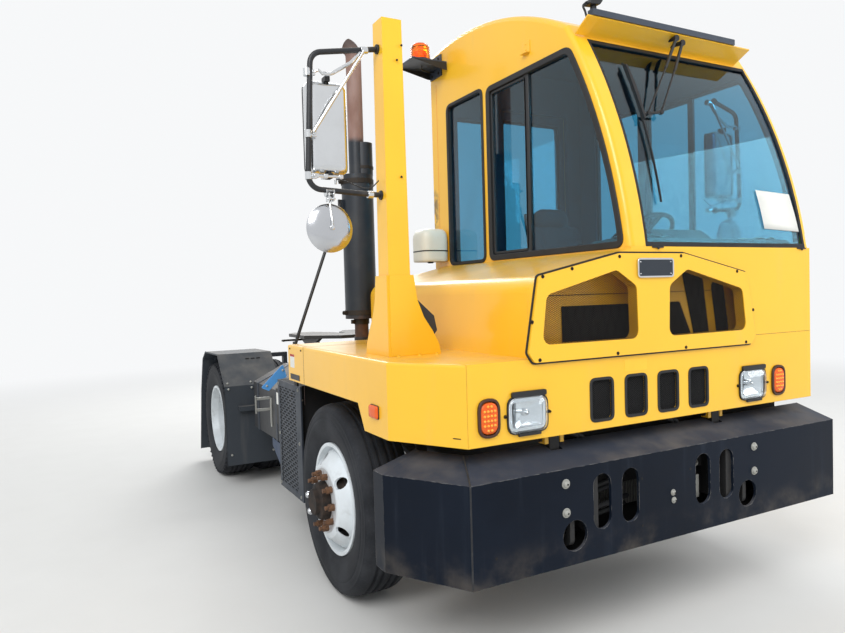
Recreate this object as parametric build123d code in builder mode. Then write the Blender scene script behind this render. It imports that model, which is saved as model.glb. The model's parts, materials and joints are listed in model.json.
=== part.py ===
"""A terminal tractor, or yard tractor: an offset cab that tilts forward over the engine,
two steered front wheels, twin rear wheels and a fifth wheel on a lifting boom.

Millimetres.  +X is the vehicle's left, -Y its front, +Z up, and the ground is z = 0.
Lengths along the vehicle are given from the front axle, and places across it from its middle.
"""

import math
import os

from build123d import *

# Wheels and axles
wheelbase = 2946.0
front_axle_y = -1250.0
tyre_radius = 515.0
tyre_half_width = 140.0
bead_radius = 288.0
rim_flange_radius = 300.0
rim_half_width = 118.0
wheel_offset = 167.5
disc_thickness = 11.5
hub_pilot_radius = 110.0
stud_circle = 285.75
stud_count = 10
stud_radius = 11.0
stud_length = 52.0
nut_radius = 19.0
nut_height = 32.0
hand_hole_radius = 30.0
hand_hole_circle = 432.0
hand_hole_count = 5
front_wheel_x = 1046.0
twin_middle_x = 912.5
kingpin_x = 896.0
kingpin_radius = 22.0
spindle_radius = 40.0
running_gap = 0.3
move_gap = 6.0

# Frame
rail_outer_x = 430.0
rail_flange = 80.0
rail_web = 12.0
rail_bottom_z = 640.0
rail_top_z = 900.0
rail_front_y = -1000.0
rail_overhang = 807.0

# Bumper
bumper_front_y = -1253.0
bumper_bottom_z = 453.0
bumper_face_top_z = 864.0
bumper_side_y = -905.0
bumper_end_y = -810.0
bumper_right_x = -1274.0
bumper_chamfer_x = -1061.0
bumper_left_x = 1259.0
bumper_wall = 14.0
bumper_cut_y = 400.0
bumper_flange_slope = 17.5
bumper_flange_run = 205.0

# Cab hinge
hinge_y = -1070.0
hinge_z = 957.0
hinge_pin_radius = 10.0
ear_radius = 22.0
inner_ear_x = 480.0
outer_ear_x = 565.0
ear_thickness = 20.0

# Body
body_front_y = -1168.0
body_bottom_z = 985.5
panel_wall = 40.0
sheet_wall = 25.0
body_right_x = -1014.0
body_left_x = 1200.0
arch_z = 1106.0
arch_front_y = -500.0
arch_foot_y = -574.0
fender_side_x = -1208.0
fender_bevel_y = -831.0
fender_rear_y = 600.0
deck_z = 1323.0
deck_edge_radius = 14.0
hood_right_x = -680.0
hood_ridge_z = 1661.0
hood_ridge_radius = 75.0
hood_cab_z = 1790.0
hood_rear_y = 520.0

# Cab
cab_right_x = -120.0
cab_rear_y = 660.0
sill_z = 1800.0
screen_centre_z = 1400.0
screen_radius = 2935.5
screen_set_back = 1.0
roof_centre_y = 327.0
roof_radius = 2052.5
header_z = 2946.0
header_depth = 74.0
pillar_width = 95.0
cab_edge_radius = 28.0
cab_edge_least = 1000.0
pillar_depth = 50.0
tunnel_left_x = 400.0
tunnel_top_z = 1500.0
floor_top_z = 1146.0
floor_front_y = -660.0
glass_thickness = 8.0

# Fifth wheel boom, with its places along the vehicle given from the rear axle
boom_pivot_ahead = 1596.0
boom_pivot_z = 820.0
boom_pin_radius = 25.0
boom_half_width = 310.0
boom_arm = 55.0
fifth_ahead = 146.0
fifth_pivot_z = 1165.0
fifth_top_z = 1250.0
fifth_half_width = 450.0
fifth_half_length = 430.0
kingpin_throat = 26.0
lift_base_ahead = 719.0
lift_base_z = 440.0
lift_eye_ahead = 696.0
lift_eye_z = 860.0
lift_x = 150.0
lift_pin_radius = 20.0
lift_barrel_radius = 50.0
lift_rod_radius = 30.0


def side_plane(x):
    """A plane across the vehicle at x: its own axes are length from the front axle, and height."""
    return Plane(origin=(x, front_axle_y, 0), x_dir=(0, 1, 0), z_dir=(1, 0, 0))


def cross_plane(y):
    """An upright plane facing the front at length y from the front axle: its axes are X and height."""
    return Plane(origin=(0, front_axle_y + y, 0), x_dir=(1, 0, 0), z_dir=(0, -1, 0))


def plan_plane(z):
    """A level plane at height z: its own axes are X and length from the front axle."""
    return Plane(origin=(0, front_axle_y, z))


def outline(plane, points, corner=0.0):
    """A flat face through the points, with its corners rounded when a radius is given."""
    with BuildSketch(plane) as flat:
        with BuildLine():
            Polyline(*points, close=True)
        make_face()
        if corner:
            fillet(flat.vertices(), corner)
    return flat.sketch


def inset(face, distance=running_gap):
    """The same flat shape, smaller by the distance all round."""
    return offset(face, amount=-distance, mode=Mode.PRIVATE)


def side_prism(points, x, mode=Mode.ADD, corner=0.0):
    """Adds or cuts a side outline of (length, height) between the two places x."""
    extrude(outline(side_plane(x[0]), points, corner), amount=x[1] - x[0], mode=mode)


def cross_prism(points, y, mode=Mode.ADD, corner=0.0):
    """Adds or cuts a front outline of (X, height) between the two lengths y."""
    extrude(outline(cross_plane(y[1]), points, corner), amount=y[1] - y[0], mode=mode)


def plan_prism(points, z, mode=Mode.ADD, corner=0.0):
    """Adds or cuts a plan outline of (X, length) between the two heights z."""
    extrude(outline(plan_plane(z[0]), points, corner), amount=z[1] - z[0], mode=mode)


def block(x, y, z, mode=Mode.ADD):
    """Adds or cuts a box between the pairs x, y and z, with y from the front axle."""
    middle = (sum(x) / 2, front_axle_y + sum(y) / 2, sum(z) / 2)
    with Locations(middle):
        Box(x[1] - x[0], y[1] - y[0], z[1] - z[0], mode=mode)


def rod_x(centre, radius, x, mode=Mode.ADD):
    """Adds or cuts a round bar along X about (length, height), between the two places x."""
    with BuildSketch(side_plane(x[0])) as end:
        with Locations(centre):
            Circle(radius)
    extrude(end.sketch, amount=x[1] - x[0], mode=mode)


def rod_y(centre, radius, y, mode=Mode.ADD):
    """Adds or cuts a round bar along Y about (X, height), between the two lengths y."""
    with BuildSketch(cross_plane(y[1])) as end:
        with Locations(centre):
            Circle(radius)
    extrude(end.sketch, amount=y[1] - y[0], mode=mode)


def rod_z(centre, radius, z, mode=Mode.ADD):
    """Adds or cuts an upright round bar about (X, length), between the two heights z."""
    with BuildSketch(plan_plane(z[0])) as end:
        with Locations(centre):
            Circle(radius)
    extrude(end.sketch, amount=z[1] - z[0], mode=mode)


def sheet_outline(points, thickness):
    """The closed outline of a bent sheet: a path and the same path set off to its left."""
    ways = [math.atan2(b[1] - a[1], b[0] - a[0]) for a, b in zip(points, points[1:])]
    far = []
    for i, (u, v) in enumerate(points):
        before, after = ways[max(i - 1, 0)], ways[min(i, len(ways) - 1)]
        turn = (after - before + math.pi) % (2 * math.pi) - math.pi
        reach = thickness / math.cos(turn / 2)
        normal = before + turn / 2 + math.pi / 2
        far.append((u + reach * math.cos(normal), v + reach * math.sin(normal)))
    return list(points) + far[::-1]


def screen_y(z, depth=0.0):
    """Length of the windscreen's curve at height z, or of the same curve a depth inwards."""
    return screen_centre_y - math.sqrt((screen_radius - depth) ** 2 - (z - screen_centre_z) ** 2)


def roof_z(y, depth=0.0):
    """Height of the roof's curve at length y, or of the same curve a depth inwards."""
    return roof_centre_z + math.sqrt((roof_radius - depth) ** 2 - (y - roof_centre_y) ** 2)


def save(part, label):
    """Labels a finished piece and writes it to its file."""
    part.label = label
    export_step(part, f"parts/{label}.step")


os.makedirs("parts", exist_ok=True)
SIDES = (("right", -1), ("left", 1))
rear_axle_y = wheelbase
rail_rear_y = rear_axle_y + rail_overhang
boom_pivot = (rear_axle_y - boom_pivot_ahead, boom_pivot_z)
fifth_pivot = (rear_axle_y - fifth_ahead, fifth_pivot_z)
lift_base = (rear_axle_y - lift_base_ahead, lift_base_z)
lift_eye = (rear_axle_y - lift_eye_ahead, lift_eye_z)

# The windscreen's curve starts at the body's front, and the roof's curve at the header
screen_rise = sill_z - screen_centre_z
screen_centre_y = body_front_y + screen_set_back + math.sqrt(screen_radius**2 - screen_rise**2)
header = (screen_y(header_z), header_z)
roof_centre_z = header_z - math.sqrt(roof_radius**2 - (header[0] - roof_centre_y) ** 2)
screen_top_z = header_z - header_depth


# Wheels.  A wheel's own plane has its first axis along the axle, towards the disc's nut side,
# and its second axis upright, so an outline of (along, radius) is turned about the axle.
def wheel_plane(x, y, side):
    return Plane(
        origin=(x, front_axle_y + y, tyre_radius), x_dir=(side, 0, 0), z_dir=(0, -side, 0)
    )


def turned(x, y, side, points, mode=Mode.ADD):
    """Adds or cuts an outline of (along, radius) turned about the wheel's axle."""
    axle = Axis((x, front_axle_y + y, tyre_radius), (1, 0, 0))
    revolve(outline(wheel_plane(x, y, side), points), axis=axle, mode=mode)


# Tyre section, inside bead to tread: (half width, radius)
tyre_section = (
    (rim_half_width - 13, bead_radius),
    (rim_half_width - 13, rim_flange_radius + 1),
    (tyre_half_width - 8, bead_radius + 62),
    (tyre_half_width, bead_radius + 130),
    (tyre_half_width - 14, tyre_radius - 26),
    (tyre_half_width - 42, tyre_radius),
)


def add_tyre(x, y):
    points = [(-a, r) for a, r in tyre_section] + [(a, r) for a, r in tyre_section[::-1]]
    turned(x, y, 1, points)


bead_seat = bead_radius - running_gap
bead_edge = rim_half_width - 13 + running_gap
barrel_section = (
    (-rim_half_width, rim_flange_radius),
    (-rim_half_width, bead_radius - 8),
    (-60, bead_radius - 26),
    (60, bead_radius - 26),
    (rim_half_width, bead_radius - 8),
    (rim_half_width, rim_flange_radius),
    (bead_edge, rim_flange_radius),
    (bead_edge, bead_seat),
    (-bead_edge, bead_seat),
    (-bead_edge, rim_flange_radius),
)
disc_back = wheel_offset - disc_thickness
disc_section = (
    (78, bead_radius - 18),
    (120, 240),
    (160, 200),
    (wheel_offset, 180),
    (wheel_offset, hub_pilot_radius),
    (disc_back, hub_pilot_radius),
    (disc_back, 176),
    (149, 194),
    (110, 233),
    (64, bead_radius - 20),
)
drum_radius = 210.0
cap_bore_depth = 205.0


def hub_section(cap):
    """The hub and its brake drum: (along, radius), with the cap's end given."""
    bore = spindle_radius + running_gap
    return (
        (-40, bore),
        (-40, 75),
        (80, 75),
        (95, 90),
        (95, drum_radius - 18),
        (-70, drum_radius - 18),
        (-70, drum_radius),
        (112, drum_radius),
        (112, 176),
        (disc_back, 176),
        (disc_back, hub_pilot_radius),
        (cap[0] - 30, hub_pilot_radius - 16),
        (cap[0] - 22, cap[1]),
        (cap[0], cap[1] - 6),
        (cap[0], 0),
        (cap_bore_depth, 0),
        (cap_bore_depth, bore),
    )


def add_wheel(x, y, side):
    """A disc wheel: rim, disc and the hand holes through it."""
    turned(x, y, side, barrel_section)
    turned(x, y, side, disc_section)
    face = Plane(origin=(x, front_axle_y + y, tyre_radius), x_dir=(0, 1, 0), z_dir=(side, 0, 0))
    with BuildSketch(face.offset(90)) as holes:
        with PolarLocations(hand_hole_circle / 2, hand_hole_count):
            Circle(hand_hole_radius)
    extrude(holes.sketch, amount=90, mode=Mode.SUBTRACT)


def add_hub(x, y, side, stack, cap):
    """Hub, drum, studs and nuts behind and through a stack of discs."""
    turned(x, y, side, hub_section(cap))
    face = Plane(origin=(x, front_axle_y + y, tyre_radius), x_dir=(0, 1, 0), z_dir=(side, 0, 0))
    seat = disc_back + stack
    with BuildSketch(face.offset(seat - 1)) as nuts:
        with PolarLocations(stud_circle / 2, stud_count):
            RegularPolygon(nut_radius, 6)
    extrude(nuts.sketch, amount=nut_height)
    with BuildSketch(face.offset(seat - 1)) as studs:
        with PolarLocations(stud_circle / 2, stud_count):
            Circle(stud_radius)
    extrude(studs.sketch, amount=stud_length)


for name, side in SIDES:
    with BuildPart() as front_tyre:
        add_tyre(side * front_wheel_x, 0)
    save(front_tyre.part, f"front_tyre_{name}")

    with BuildPart() as front_wheel:
        add_wheel(side * front_wheel_x, 0, side)
        add_hub(side * front_wheel_x, 0, side, disc_thickness, (238, 72))
    save(front_wheel.part, f"front_wheel_{name}")

    outer_x = side * (twin_middle_x + wheel_offset)
    inner_x = side * (twin_middle_x - wheel_offset)
    with BuildPart() as rear_tyres:
        add_tyre(outer_x, rear_axle_y)
        add_tyre(inner_x, rear_axle_y)
    save(rear_tyres.part, f"rear_tyres_{name}")

    with BuildPart() as rear_wheels:
        add_wheel(outer_x, rear_axle_y, -side)
        add_wheel(inner_x, rear_axle_y, side)
        add_hub(inner_x, rear_axle_y, side, 2 * disc_thickness, (262, 86))
    save(rear_wheels.part, f"rear_wheels_{name}")


# Front axle, its springs and the steering
axle_z = tyre_radius
eye_half_height = 46.0
axle_drop = 92.0
spring_x = (392.0, 468.0)
spring_end_y = 600.0
spring_seat_z = axle_z - axle_drop + 2 * eye_half_height - 26
spring_leaf = 62.0
spring_end_leaf = 22.0
spring_end_length = 60.0
spring_seat_half = 70.0
axle_half_depth = 40.0
axle_eye_radius = 45.0
axle_flat_x = 600.0
axle_drop_x = kingpin_x - 80

with BuildPart() as front_axle:
    low = axle_z - eye_half_height
    high = axle_z + eye_half_height
    cross_prism(
        (
            (-kingpin_x, low),
            (-axle_drop_x, low),
            (-axle_flat_x, low - axle_drop),
            (axle_flat_x, low - axle_drop),
            (axle_drop_x, low),
            (kingpin_x, low),
            (kingpin_x, high),
            (axle_drop_x, high),
            (axle_flat_x, spring_seat_z),
            (-axle_flat_x, spring_seat_z),
            (-axle_drop_x, high),
            (-kingpin_x, high),
        ),
        (-axle_half_depth, axle_half_depth),
    )
    for side in (-1, 1):
        rod_z((side * kingpin_x, 0), axle_eye_radius, (low, high))
        hole = kingpin_radius + running_gap
        rod_z((side * kingpin_x, 0), hole, (low - 1, high + 1), Mode.SUBTRACT)
    spring_end_top = rail_bottom_z - 18
    for side in (-1, 1):
        near = min(side * spring_x[0], side * spring_x[1])
        with BuildSketch(side_plane(near)) as leaves:
            with BuildLine():
                tip = spring_end_y + spring_end_length
                base = spring_end_top - spring_end_leaf
                Line((-tip, base), (-spring_end_y, base))
                ThreePointArc((-spring_end_y, base), (0, spring_seat_z), (spring_end_y, base))
                Line((spring_end_y, base), (tip, base))
                Line((tip, base), (tip, spring_end_top))
                Line((tip, spring_end_top), (spring_end_y, spring_end_top))
                ThreePointArc(
                    (spring_end_y, spring_end_top),
                    (0, spring_seat_z + spring_leaf),
                    (-spring_end_y, spring_end_top),
                )
                Line((-spring_end_y, spring_end_top), (-tip, spring_end_top))
                Line((-tip, spring_end_top), (-tip, base))
            make_face()
        extrude(leaves.sketch, amount=spring_x[1] - spring_x[0])
        spring_seat_x = (near, near + spring_x[1] - spring_x[0])
        seat_y = (-spring_seat_half, spring_seat_half)
        block(spring_seat_x, seat_y, (spring_seat_z - 10, spring_seat_z + spring_leaf / 2))
save(front_axle.part, "front_axle")

steer_arm_y = 220.0
steer_arm_x = kingpin_x
arm_top = axle_z - eye_half_height - 5
arm_bottom = arm_top - 40
steer_arm_half = 28.0
steer_arm_thick = 25.0
knuckle_half = 42.0
knuckle_web = (kingpin_x + 52, kingpin_x + 62)
knuckle_web_half = 60.0
ball_radius = 16.0
ball_seat_radius = 26.0


def add_spindle(x, y, side):
    """The fixed spindle and the brake's back plate, about the wheel at x."""
    turned(x, y, side, ((-100, 0), (-100, spindle_radius), (200, spindle_radius), (200, 0)))
    turned(x, y, side, ((-92, 0), (-92, 200), (-78, 200), (-78, 0)))


for name, side in SIDES:
    with BuildPart() as knuckle:
        add_spindle(side * front_wheel_x, 0, side)
        web = sorted(side * x for x in knuckle_web)
        web_y = (-knuckle_web_half, knuckle_web_half)
        block(web, web_y, (arm_bottom, 2 * axle_z - arm_bottom))
        for low, high in ((arm_bottom, arm_top), (2 * axle_z - arm_top, 2 * axle_z - arm_bottom)):
            arm_x = sorted((side * kingpin_x, side * (knuckle_web[0] + 4)))
            block(arm_x, (-knuckle_half, knuckle_half), (low, high))
            rod_z((side * kingpin_x, 0), knuckle_half, (low, high))
        rod_z((side * kingpin_x, 0), kingpin_radius, (arm_bottom, 2 * axle_z - arm_bottom))
        lever_x = (side * steer_arm_x - steer_arm_half, side * steer_arm_x + steer_arm_half)
        lever_z = (arm_bottom, arm_bottom + steer_arm_thick)
        block(lever_x, (0, steer_arm_y), lever_z)
        rod_z((side * steer_arm_x, steer_arm_y), steer_arm_half, lever_z)
        rod_z(
            (side * steer_arm_x, steer_arm_y),
            ball_radius + running_gap,
            (lever_z[0] - 1, lever_z[1] + 1),
            Mode.SUBTRACT,
        )
    save(knuckle.part, f"knuckle_{name}")

tie_rod_radius = 19.0
tie_rod_z = arm_bottom - 26
with BuildPart() as tie_rod:
    turn_axis = Plane(
        origin=(-steer_arm_x, front_axle_y + steer_arm_y, tie_rod_z),
        x_dir=(0, 1, 0),
        z_dir=(1, 0, 0),
    )
    with BuildSketch(turn_axis) as bar:
        Circle(tie_rod_radius)
    extrude(bar.sketch, amount=2 * steer_arm_x)
    for side in (-1, 1):
        place = (side * steer_arm_x, steer_arm_y)
        rod_z(place, ball_seat_radius, (tie_rod_z - 20, arm_bottom - move_gap))
        rod_z(place, ball_radius, (tie_rod_z - 20, arm_bottom + steer_arm_thick))
save(tie_rod.part, "tie_rod")

# Rear axle
pinion_reach = 300.0
pinion_radius = 95.0
saddle_half = 110.0
bowl = 180.0
tube = 75.0
with BuildPart() as rear_axle:
    inner_x = twin_middle_x - wheel_offset
    tube_end = inner_x - 85
    turned(
        0,
        rear_axle_y,
        1,
        (
            (-tube_end, 0),
            (-tube_end, tube),
            (-250, tube),
            (-130, bowl),
            (130, bowl),
            (250, tube),
            (tube_end, tube),
            (tube_end, 0),
        ),
    )
    for side in (-1, 1):
        add_spindle(side * inner_x, rear_axle_y, side)
        saddle = sorted((side * (rail_outer_x - rail_flange), side * rail_outer_x))
        saddle_y = (rear_axle_y - saddle_half, rear_axle_y + saddle_half)
        block(saddle, saddle_y, (axle_z, rail_bottom_z))
    rod_y((0, axle_z), pinion_radius, (rear_axle_y - pinion_reach, rear_axle_y))
save(rear_axle.part, "rear_axle")

# Engine, gearbox, radiator and propeller shaft, as one plain driveline
engine_y = (-800.0, 350.0)
gearbox_rear_y = 800.0
radiator_y = (-970.0, -870.0)
radiator_foot_z = rail_top_z + 10
# Driveline: (half width, front, rear, bottom, top)
driveline = (
    (300.0, *engine_y, 600.0, 1380.0),
    (200.0, engine_y[1], gearbox_rear_y, 430.0, 850.0),
    (420.0, *radiator_y, radiator_foot_z, 1240.0),
    (330.0, *radiator_y, 700.0, radiator_foot_z),
    (120.0, radiator_y[1], engine_y[0], 760.0, 1100.0),
)
shaft_radius = 50.0
with BuildPart() as engine_block:
    for half_width, front, rear, bottom, top in driveline:
        block((-half_width, half_width), (front, rear), (bottom, top))
    rod_y((0, axle_z), shaft_radius, (gearbox_rear_y, rear_axle_y - pinion_reach))
save(engine_block.part, "engine_block")

# Frame
# Cross-members: (from, to, bottom, top)
cross_members = (
    (860.0, 940.0, 700.0, 880.0),
    (boom_pivot[0] - 60, boom_pivot[0] + 60, 660.0, 745.0),
    (lift_base[0] - 167, lift_base[0] - 107, 660.0, 755.0),
    (rear_axle_y + 434, rear_axle_y + 514, 700.0, 880.0),
    (rail_rear_y - 12, rail_rear_y, 560.0, 900.0),
)
boom_bearing_x = boom_half_width + move_gap
hook_x = (538.0, 562.0)
hook_y = (6.0, 180.0)
hook_z = (520.0, 650.0)
hook_corner = 30.0
hook_eye_radius = 24.0
hook_tie_y = (110.0, 170.0)
hook_tie_z = (570.0, 640.0)
horn_front_y = bumper_front_y + bumper_wall
horn_half = 20.0
horn_low_z = 560.0
horn_front_z = 835.0
hanger_half = 30.0
lug_base_z = 700.0
lug_tie_z = 790.0
lift_ear_shift = 52.0
lift_ear_half = 12.0
lift_ear_y = 30.0
beam_half = 55.0
with BuildPart() as frame_rails:
    for side in (-1, 1):
        outer = side * rail_outer_x
        web = side * (rail_outer_x - rail_web)
        lip = side * (rail_outer_x - rail_flange)
        cross_prism(
            (
                (outer, rail_bottom_z),
                (outer, rail_top_z),
                (lip, rail_top_z),
                (lip, rail_top_z - rail_web),
                (web, rail_top_z - rail_web),
                (web, rail_bottom_z + rail_web),
                (lip, rail_bottom_z + rail_web),
                (lip, rail_bottom_z),
            ),
            (rail_front_y, rail_rear_y),
        )
        horn = sorted((side * (rail_outer_x - horn_half), side * (rail_outer_x + horn_half)))
        side_prism(
            (
                (horn_front_y, horn_low_z),
                (rail_front_y, horn_low_z),
                (rail_front_y + 60, rail_bottom_z),
                (rail_front_y + 60, rail_top_z),
                (rail_front_y, rail_top_z),
                (horn_front_y, horn_front_z),
            ),
            horn,
        )
        hook = sorted((side * hook_x[0], side * hook_x[1]))
        side_prism(
            (
                (horn_front_y + hook_y[0], hook_z[0]),
                (horn_front_y + hook_y[1], hook_z[0]),
                (horn_front_y + hook_y[1], hook_z[1]),
                (horn_front_y + hook_y[0], hook_z[1]),
            ),
            hook,
            corner=hook_corner,
        )
        rod_x((horn_front_y + 60, 575), hook_eye_radius, hook, Mode.SUBTRACT)
        tie = sorted((side * (rail_outer_x + horn_half), side * hook_x[0]))
        block(tie, (horn_front_y + hook_tie_y[0], horn_front_y + hook_tie_y[1]), hook_tie_z)
        for y in (-spring_end_y - 30, spring_end_y + 30):
            hanger = sorted((side * spring_x[0], side * spring_x[1]))
            block(hanger, (y - hanger_half, y + hanger_half), (spring_end_top, rail_bottom_z))
        lug_inner = inner_ear_x + ear_thickness / 2 + move_gap
        lug_outer = outer_ear_x - ear_thickness / 2 - move_gap
        lug = sorted((side * lug_inner, side * lug_outer))
        side_prism(
            (
                (hinge_y - ear_radius, lug_base_z),
                (hinge_y + ear_radius, lug_base_z),
                (hinge_y + ear_radius, hinge_z + 16),
                (hinge_y - ear_radius, hinge_z + 16),
            ),
            lug,
        )
        bore = hinge_pin_radius + running_gap
        rod_x((hinge_y, hinge_z), bore, lug, Mode.SUBTRACT)
        bearing = sorted((side * boom_bearing_x, side * (rail_outer_x - rail_web)))
        rod_x(boom_pivot, 60, bearing)
    tie_lug_x = outer_ear_x - ear_thickness / 2 - move_gap
    lug_y = (hinge_y - ear_radius, hinge_y + ear_radius)
    block((-tie_lug_x, tie_lug_x), lug_y, (lug_base_z, lug_tie_z))
    for start, end, bottom, top in cross_members:
        block((-rail_outer_x + rail_web, rail_outer_x - rail_web), (start, end), (bottom, top))
    rod_x(boom_pivot, boom_pin_radius, (-rail_outer_x + rail_web, rail_outer_x - rail_web))
    beam_y = (lift_base[0] - beam_half, lift_base[0] + beam_half)
    beam_z = (lift_base[1] - 90, lift_base[1] - 45)
    block((-rail_outer_x, rail_outer_x), beam_y, beam_z)
    for side in (-1, 1):
        hanger = sorted((side * (rail_outer_x - rail_flange), side * rail_outer_x))
        block(hanger, beam_y, (beam_z[0], rail_bottom_z))
        for ear_shift in (-lift_ear_shift, lift_ear_shift):
            x = side * lift_x + ear_shift
            ear_y = (lift_base[0] - lift_ear_y, lift_base[0] + lift_ear_y)
            block((x - lift_ear_half, x + lift_ear_half), ear_y, (beam_z[1], lift_base[1] + 28))
        rod_x(lift_base, lift_pin_radius, (side * lift_x - 60, side * lift_x + 60))
save(frame_rails.part, "frame_rails")

# Bumper
flange_slope = math.tan(math.radians(bumper_flange_slope))


def bumper_plan(depth, left_depth):
    """Plan of the bumper's outer face set inwards, with a depth of its own at the left end."""
    chamfer = math.atan2(bumper_side_y - bumper_front_y, bumper_chamfer_x - bumper_right_x)
    shift = depth * math.tan((math.pi / 2 - chamfer) / 2)
    turn = depth * math.tan(chamfer / 2)
    return (
        (bumper_left_x - left_depth, bumper_front_y + depth),
        (bumper_chamfer_x + turn, bumper_front_y + depth),
        (bumper_right_x + depth, bumper_side_y + shift),
        (bumper_right_x + depth, bumper_cut_y),
        (bumper_left_x - left_depth, bumper_cut_y),
    )


def add_flange(drop, mode=Mode.ADD):
    """The sloping top of the bumper as a solid wedge, or the space a drop under it."""
    low = outline(plan_plane(bumper_face_top_z - drop), bumper_plan(0, 0))
    top_z = bumper_face_top_z + bumper_flange_run * flange_slope - drop
    loft([low, outline(plan_plane(top_z), bumper_plan(bumper_flange_run, 0))], ruled=True, mode=mode)


# Front openings, on both sides of the middle: (place, height, width, tall)
bumper_slots = ((396.5, 696.0, 100.0, 240.0), (232.0, 696.0, 100.0, 240.0))
tow_hole_x = 550.0
tow_hole_z = 575.0
tow_hole_radius = 65.0
with BuildPart() as bumper:
    add_flange(0)
    wall_drop = bumper_wall / math.cos(math.radians(bumper_flange_slope))
    add_flange(wall_drop, Mode.SUBTRACT)
    high_z = bumper_face_top_z + bumper_flange_run
    plan_prism(bumper_plan(bumper_flange_run, -1), (bumper_bottom_z, high_z), Mode.SUBTRACT)
    plan_prism(bumper_plan(0, 0), (bumper_bottom_z, bumper_face_top_z))
    plan_prism(
        bumper_plan(bumper_wall, bumper_wall),
        (bumper_bottom_z - 1, bumper_face_top_z - wall_drop),
        Mode.SUBTRACT,
    )
    plan_prism(
        bumper_plan(bumper_wall + 30, -1),
        (bumper_face_top_z - wall_drop - 1, bumper_face_top_z + 1),
        Mode.SUBTRACT,
    )
    beyond = (bumper_end_y, bumper_cut_y + 1)
    block((-1400, 1400), beyond, (bumper_bottom_z - 1, high_z), Mode.SUBTRACT)
    for side in (-1, 1):
        for x, z, wide, tall in bumper_slots:
            with BuildSketch(cross_plane(bumper_front_y + 60)) as slot:
                with Locations((side * x, z)):
                    SlotOverall(tall, wide, rotation=90)
            extrude(slot.sketch, amount=100, mode=Mode.SUBTRACT)
        tow_hole_y = (bumper_front_y - 1, horn_front_y + 1)
        rod_y((side * tow_hole_x, tow_hole_z), tow_hole_radius, tow_hole_y, Mode.SUBTRACT)
        lug = sorted((side * (lug_inner - move_gap), side * (lug_outer + move_gap)))
        block(lug, (hinge_y - 40, hinge_y + 100), (bumper_face_top_z + 1, high_z), Mode.SUBTRACT)
save(bumper.part, "bumper")

# Rear fenders: path of (length from the rear axle, height), from the flap forward
fender_x = (770.0, 1240.0)
fender_sheet = 12.0
fender_path = (
    (674.0, 117.0),
    (524.0, 720.0),
    (384.0, 1040.0),
    (234.0, 1118.0),
    (-326.0, 1128.0),
    (-594.0, 872.0),
    (-606.0, 200.0),
)
fender_post_y = (rear_axle_y + 304, rear_axle_y + 364)
fender_post_z = (700.0, 1020.0, 1060.0)
fender_arm_z = (660.0, 700.0)
fender_arm_y = (rear_axle_y - 656, rear_axle_y - 591)
with BuildPart() as rear_fenders:
    for side in (-1, 1):
        reach = sorted((side * fender_x[0], side * fender_x[1]))
        path = [(rear_axle_y + y, z) for y, z in fender_path]
        side_prism(sheet_outline(path, fender_sheet), reach)
        arm = sorted((side * rail_outer_x, side * (fender_x[1] - 100)))
        block(arm, fender_post_y, fender_post_z[1:])
        foot = sorted((side * rail_outer_x, side * (rail_outer_x + 40)))
        block(foot, fender_post_y, (fender_post_z[0], fender_post_z[2]))
        block(arm, fender_arm_y, fender_arm_z)
save(rear_fenders.part, "rear_fenders")

# Right side behind the front wheel: the perforated guard box
guard_x = (-1150.0, -800.0)
guard_y = (600.0, 1050.0)
guard_z = (340.0, 1060.0)
guard_wing_y = 560.0
guard_plate = 10.0
guard_bracket_y = (guard_y[0] + 100, guard_y[1] - 90)
guard_bracket_z = (680.0, 740.0)
bracket_half = 25.0
with BuildPart() as guard_box:
    block((guard_x[0] + guard_plate, guard_x[1]), guard_y, guard_z)
    block((guard_x[0], guard_x[0] + guard_plate), (guard_wing_y, guard_y[1]), guard_z)
    for y in guard_bracket_y:
        bracket_y = (y - bracket_half, y + bracket_half)
        block((guard_x[1], -rail_outer_x), bracket_y, guard_bracket_z)
save(guard_box.part, "guard_box")

# Tanks beside the frame: the hydraulic tank on the right and the fuel tank on the left
hydraulic_tank_y = (guard_y[1] + 250, rear_axle_y - 846)
hydraulic_tank = ((-1060, 560), (-560, 560), (-560, 1060), (-800, 1060), (-1060, 930))
fuel_tank_x = (520.0, 1080.0)
fuel_tank_z = (410.0, 870.0)
fuel_tank_y = (1150.0, 1800.0)
fuel_tank_corner = 110.0
tank_bracket_z = (700.0, 760.0)
with BuildPart() as frame_tanks:
    cross_prism(hydraulic_tank, hydraulic_tank_y)
    for y in (hydraulic_tank_y[0] + 150, hydraulic_tank_y[1] - 150):
        bracket_y = (y - bracket_half, y + bracket_half)
        block((hydraulic_tank[1][0], -rail_outer_x), bracket_y, tank_bracket_z)
    with BuildSketch(cross_plane(fuel_tank_y[1])) as tank_end:
        with Locations((sum(fuel_tank_x) / 2, sum(fuel_tank_z) / 2)):
            RectangleRounded(
                fuel_tank_x[1] - fuel_tank_x[0], fuel_tank_z[1] - fuel_tank_z[0], fuel_tank_corner
            )
    extrude(tank_end.sketch, amount=fuel_tank_y[1] - fuel_tank_y[0])
    for y in (fuel_tank_y[0] + 100, fuel_tank_y[1] - 100):
        bracket_y = (y - bracket_half, y + bracket_half)
        block((rail_outer_x, fuel_tank_x[0] + 40), bracket_y, tank_bracket_z)
save(frame_tanks.part, "frame_tanks")

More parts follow.
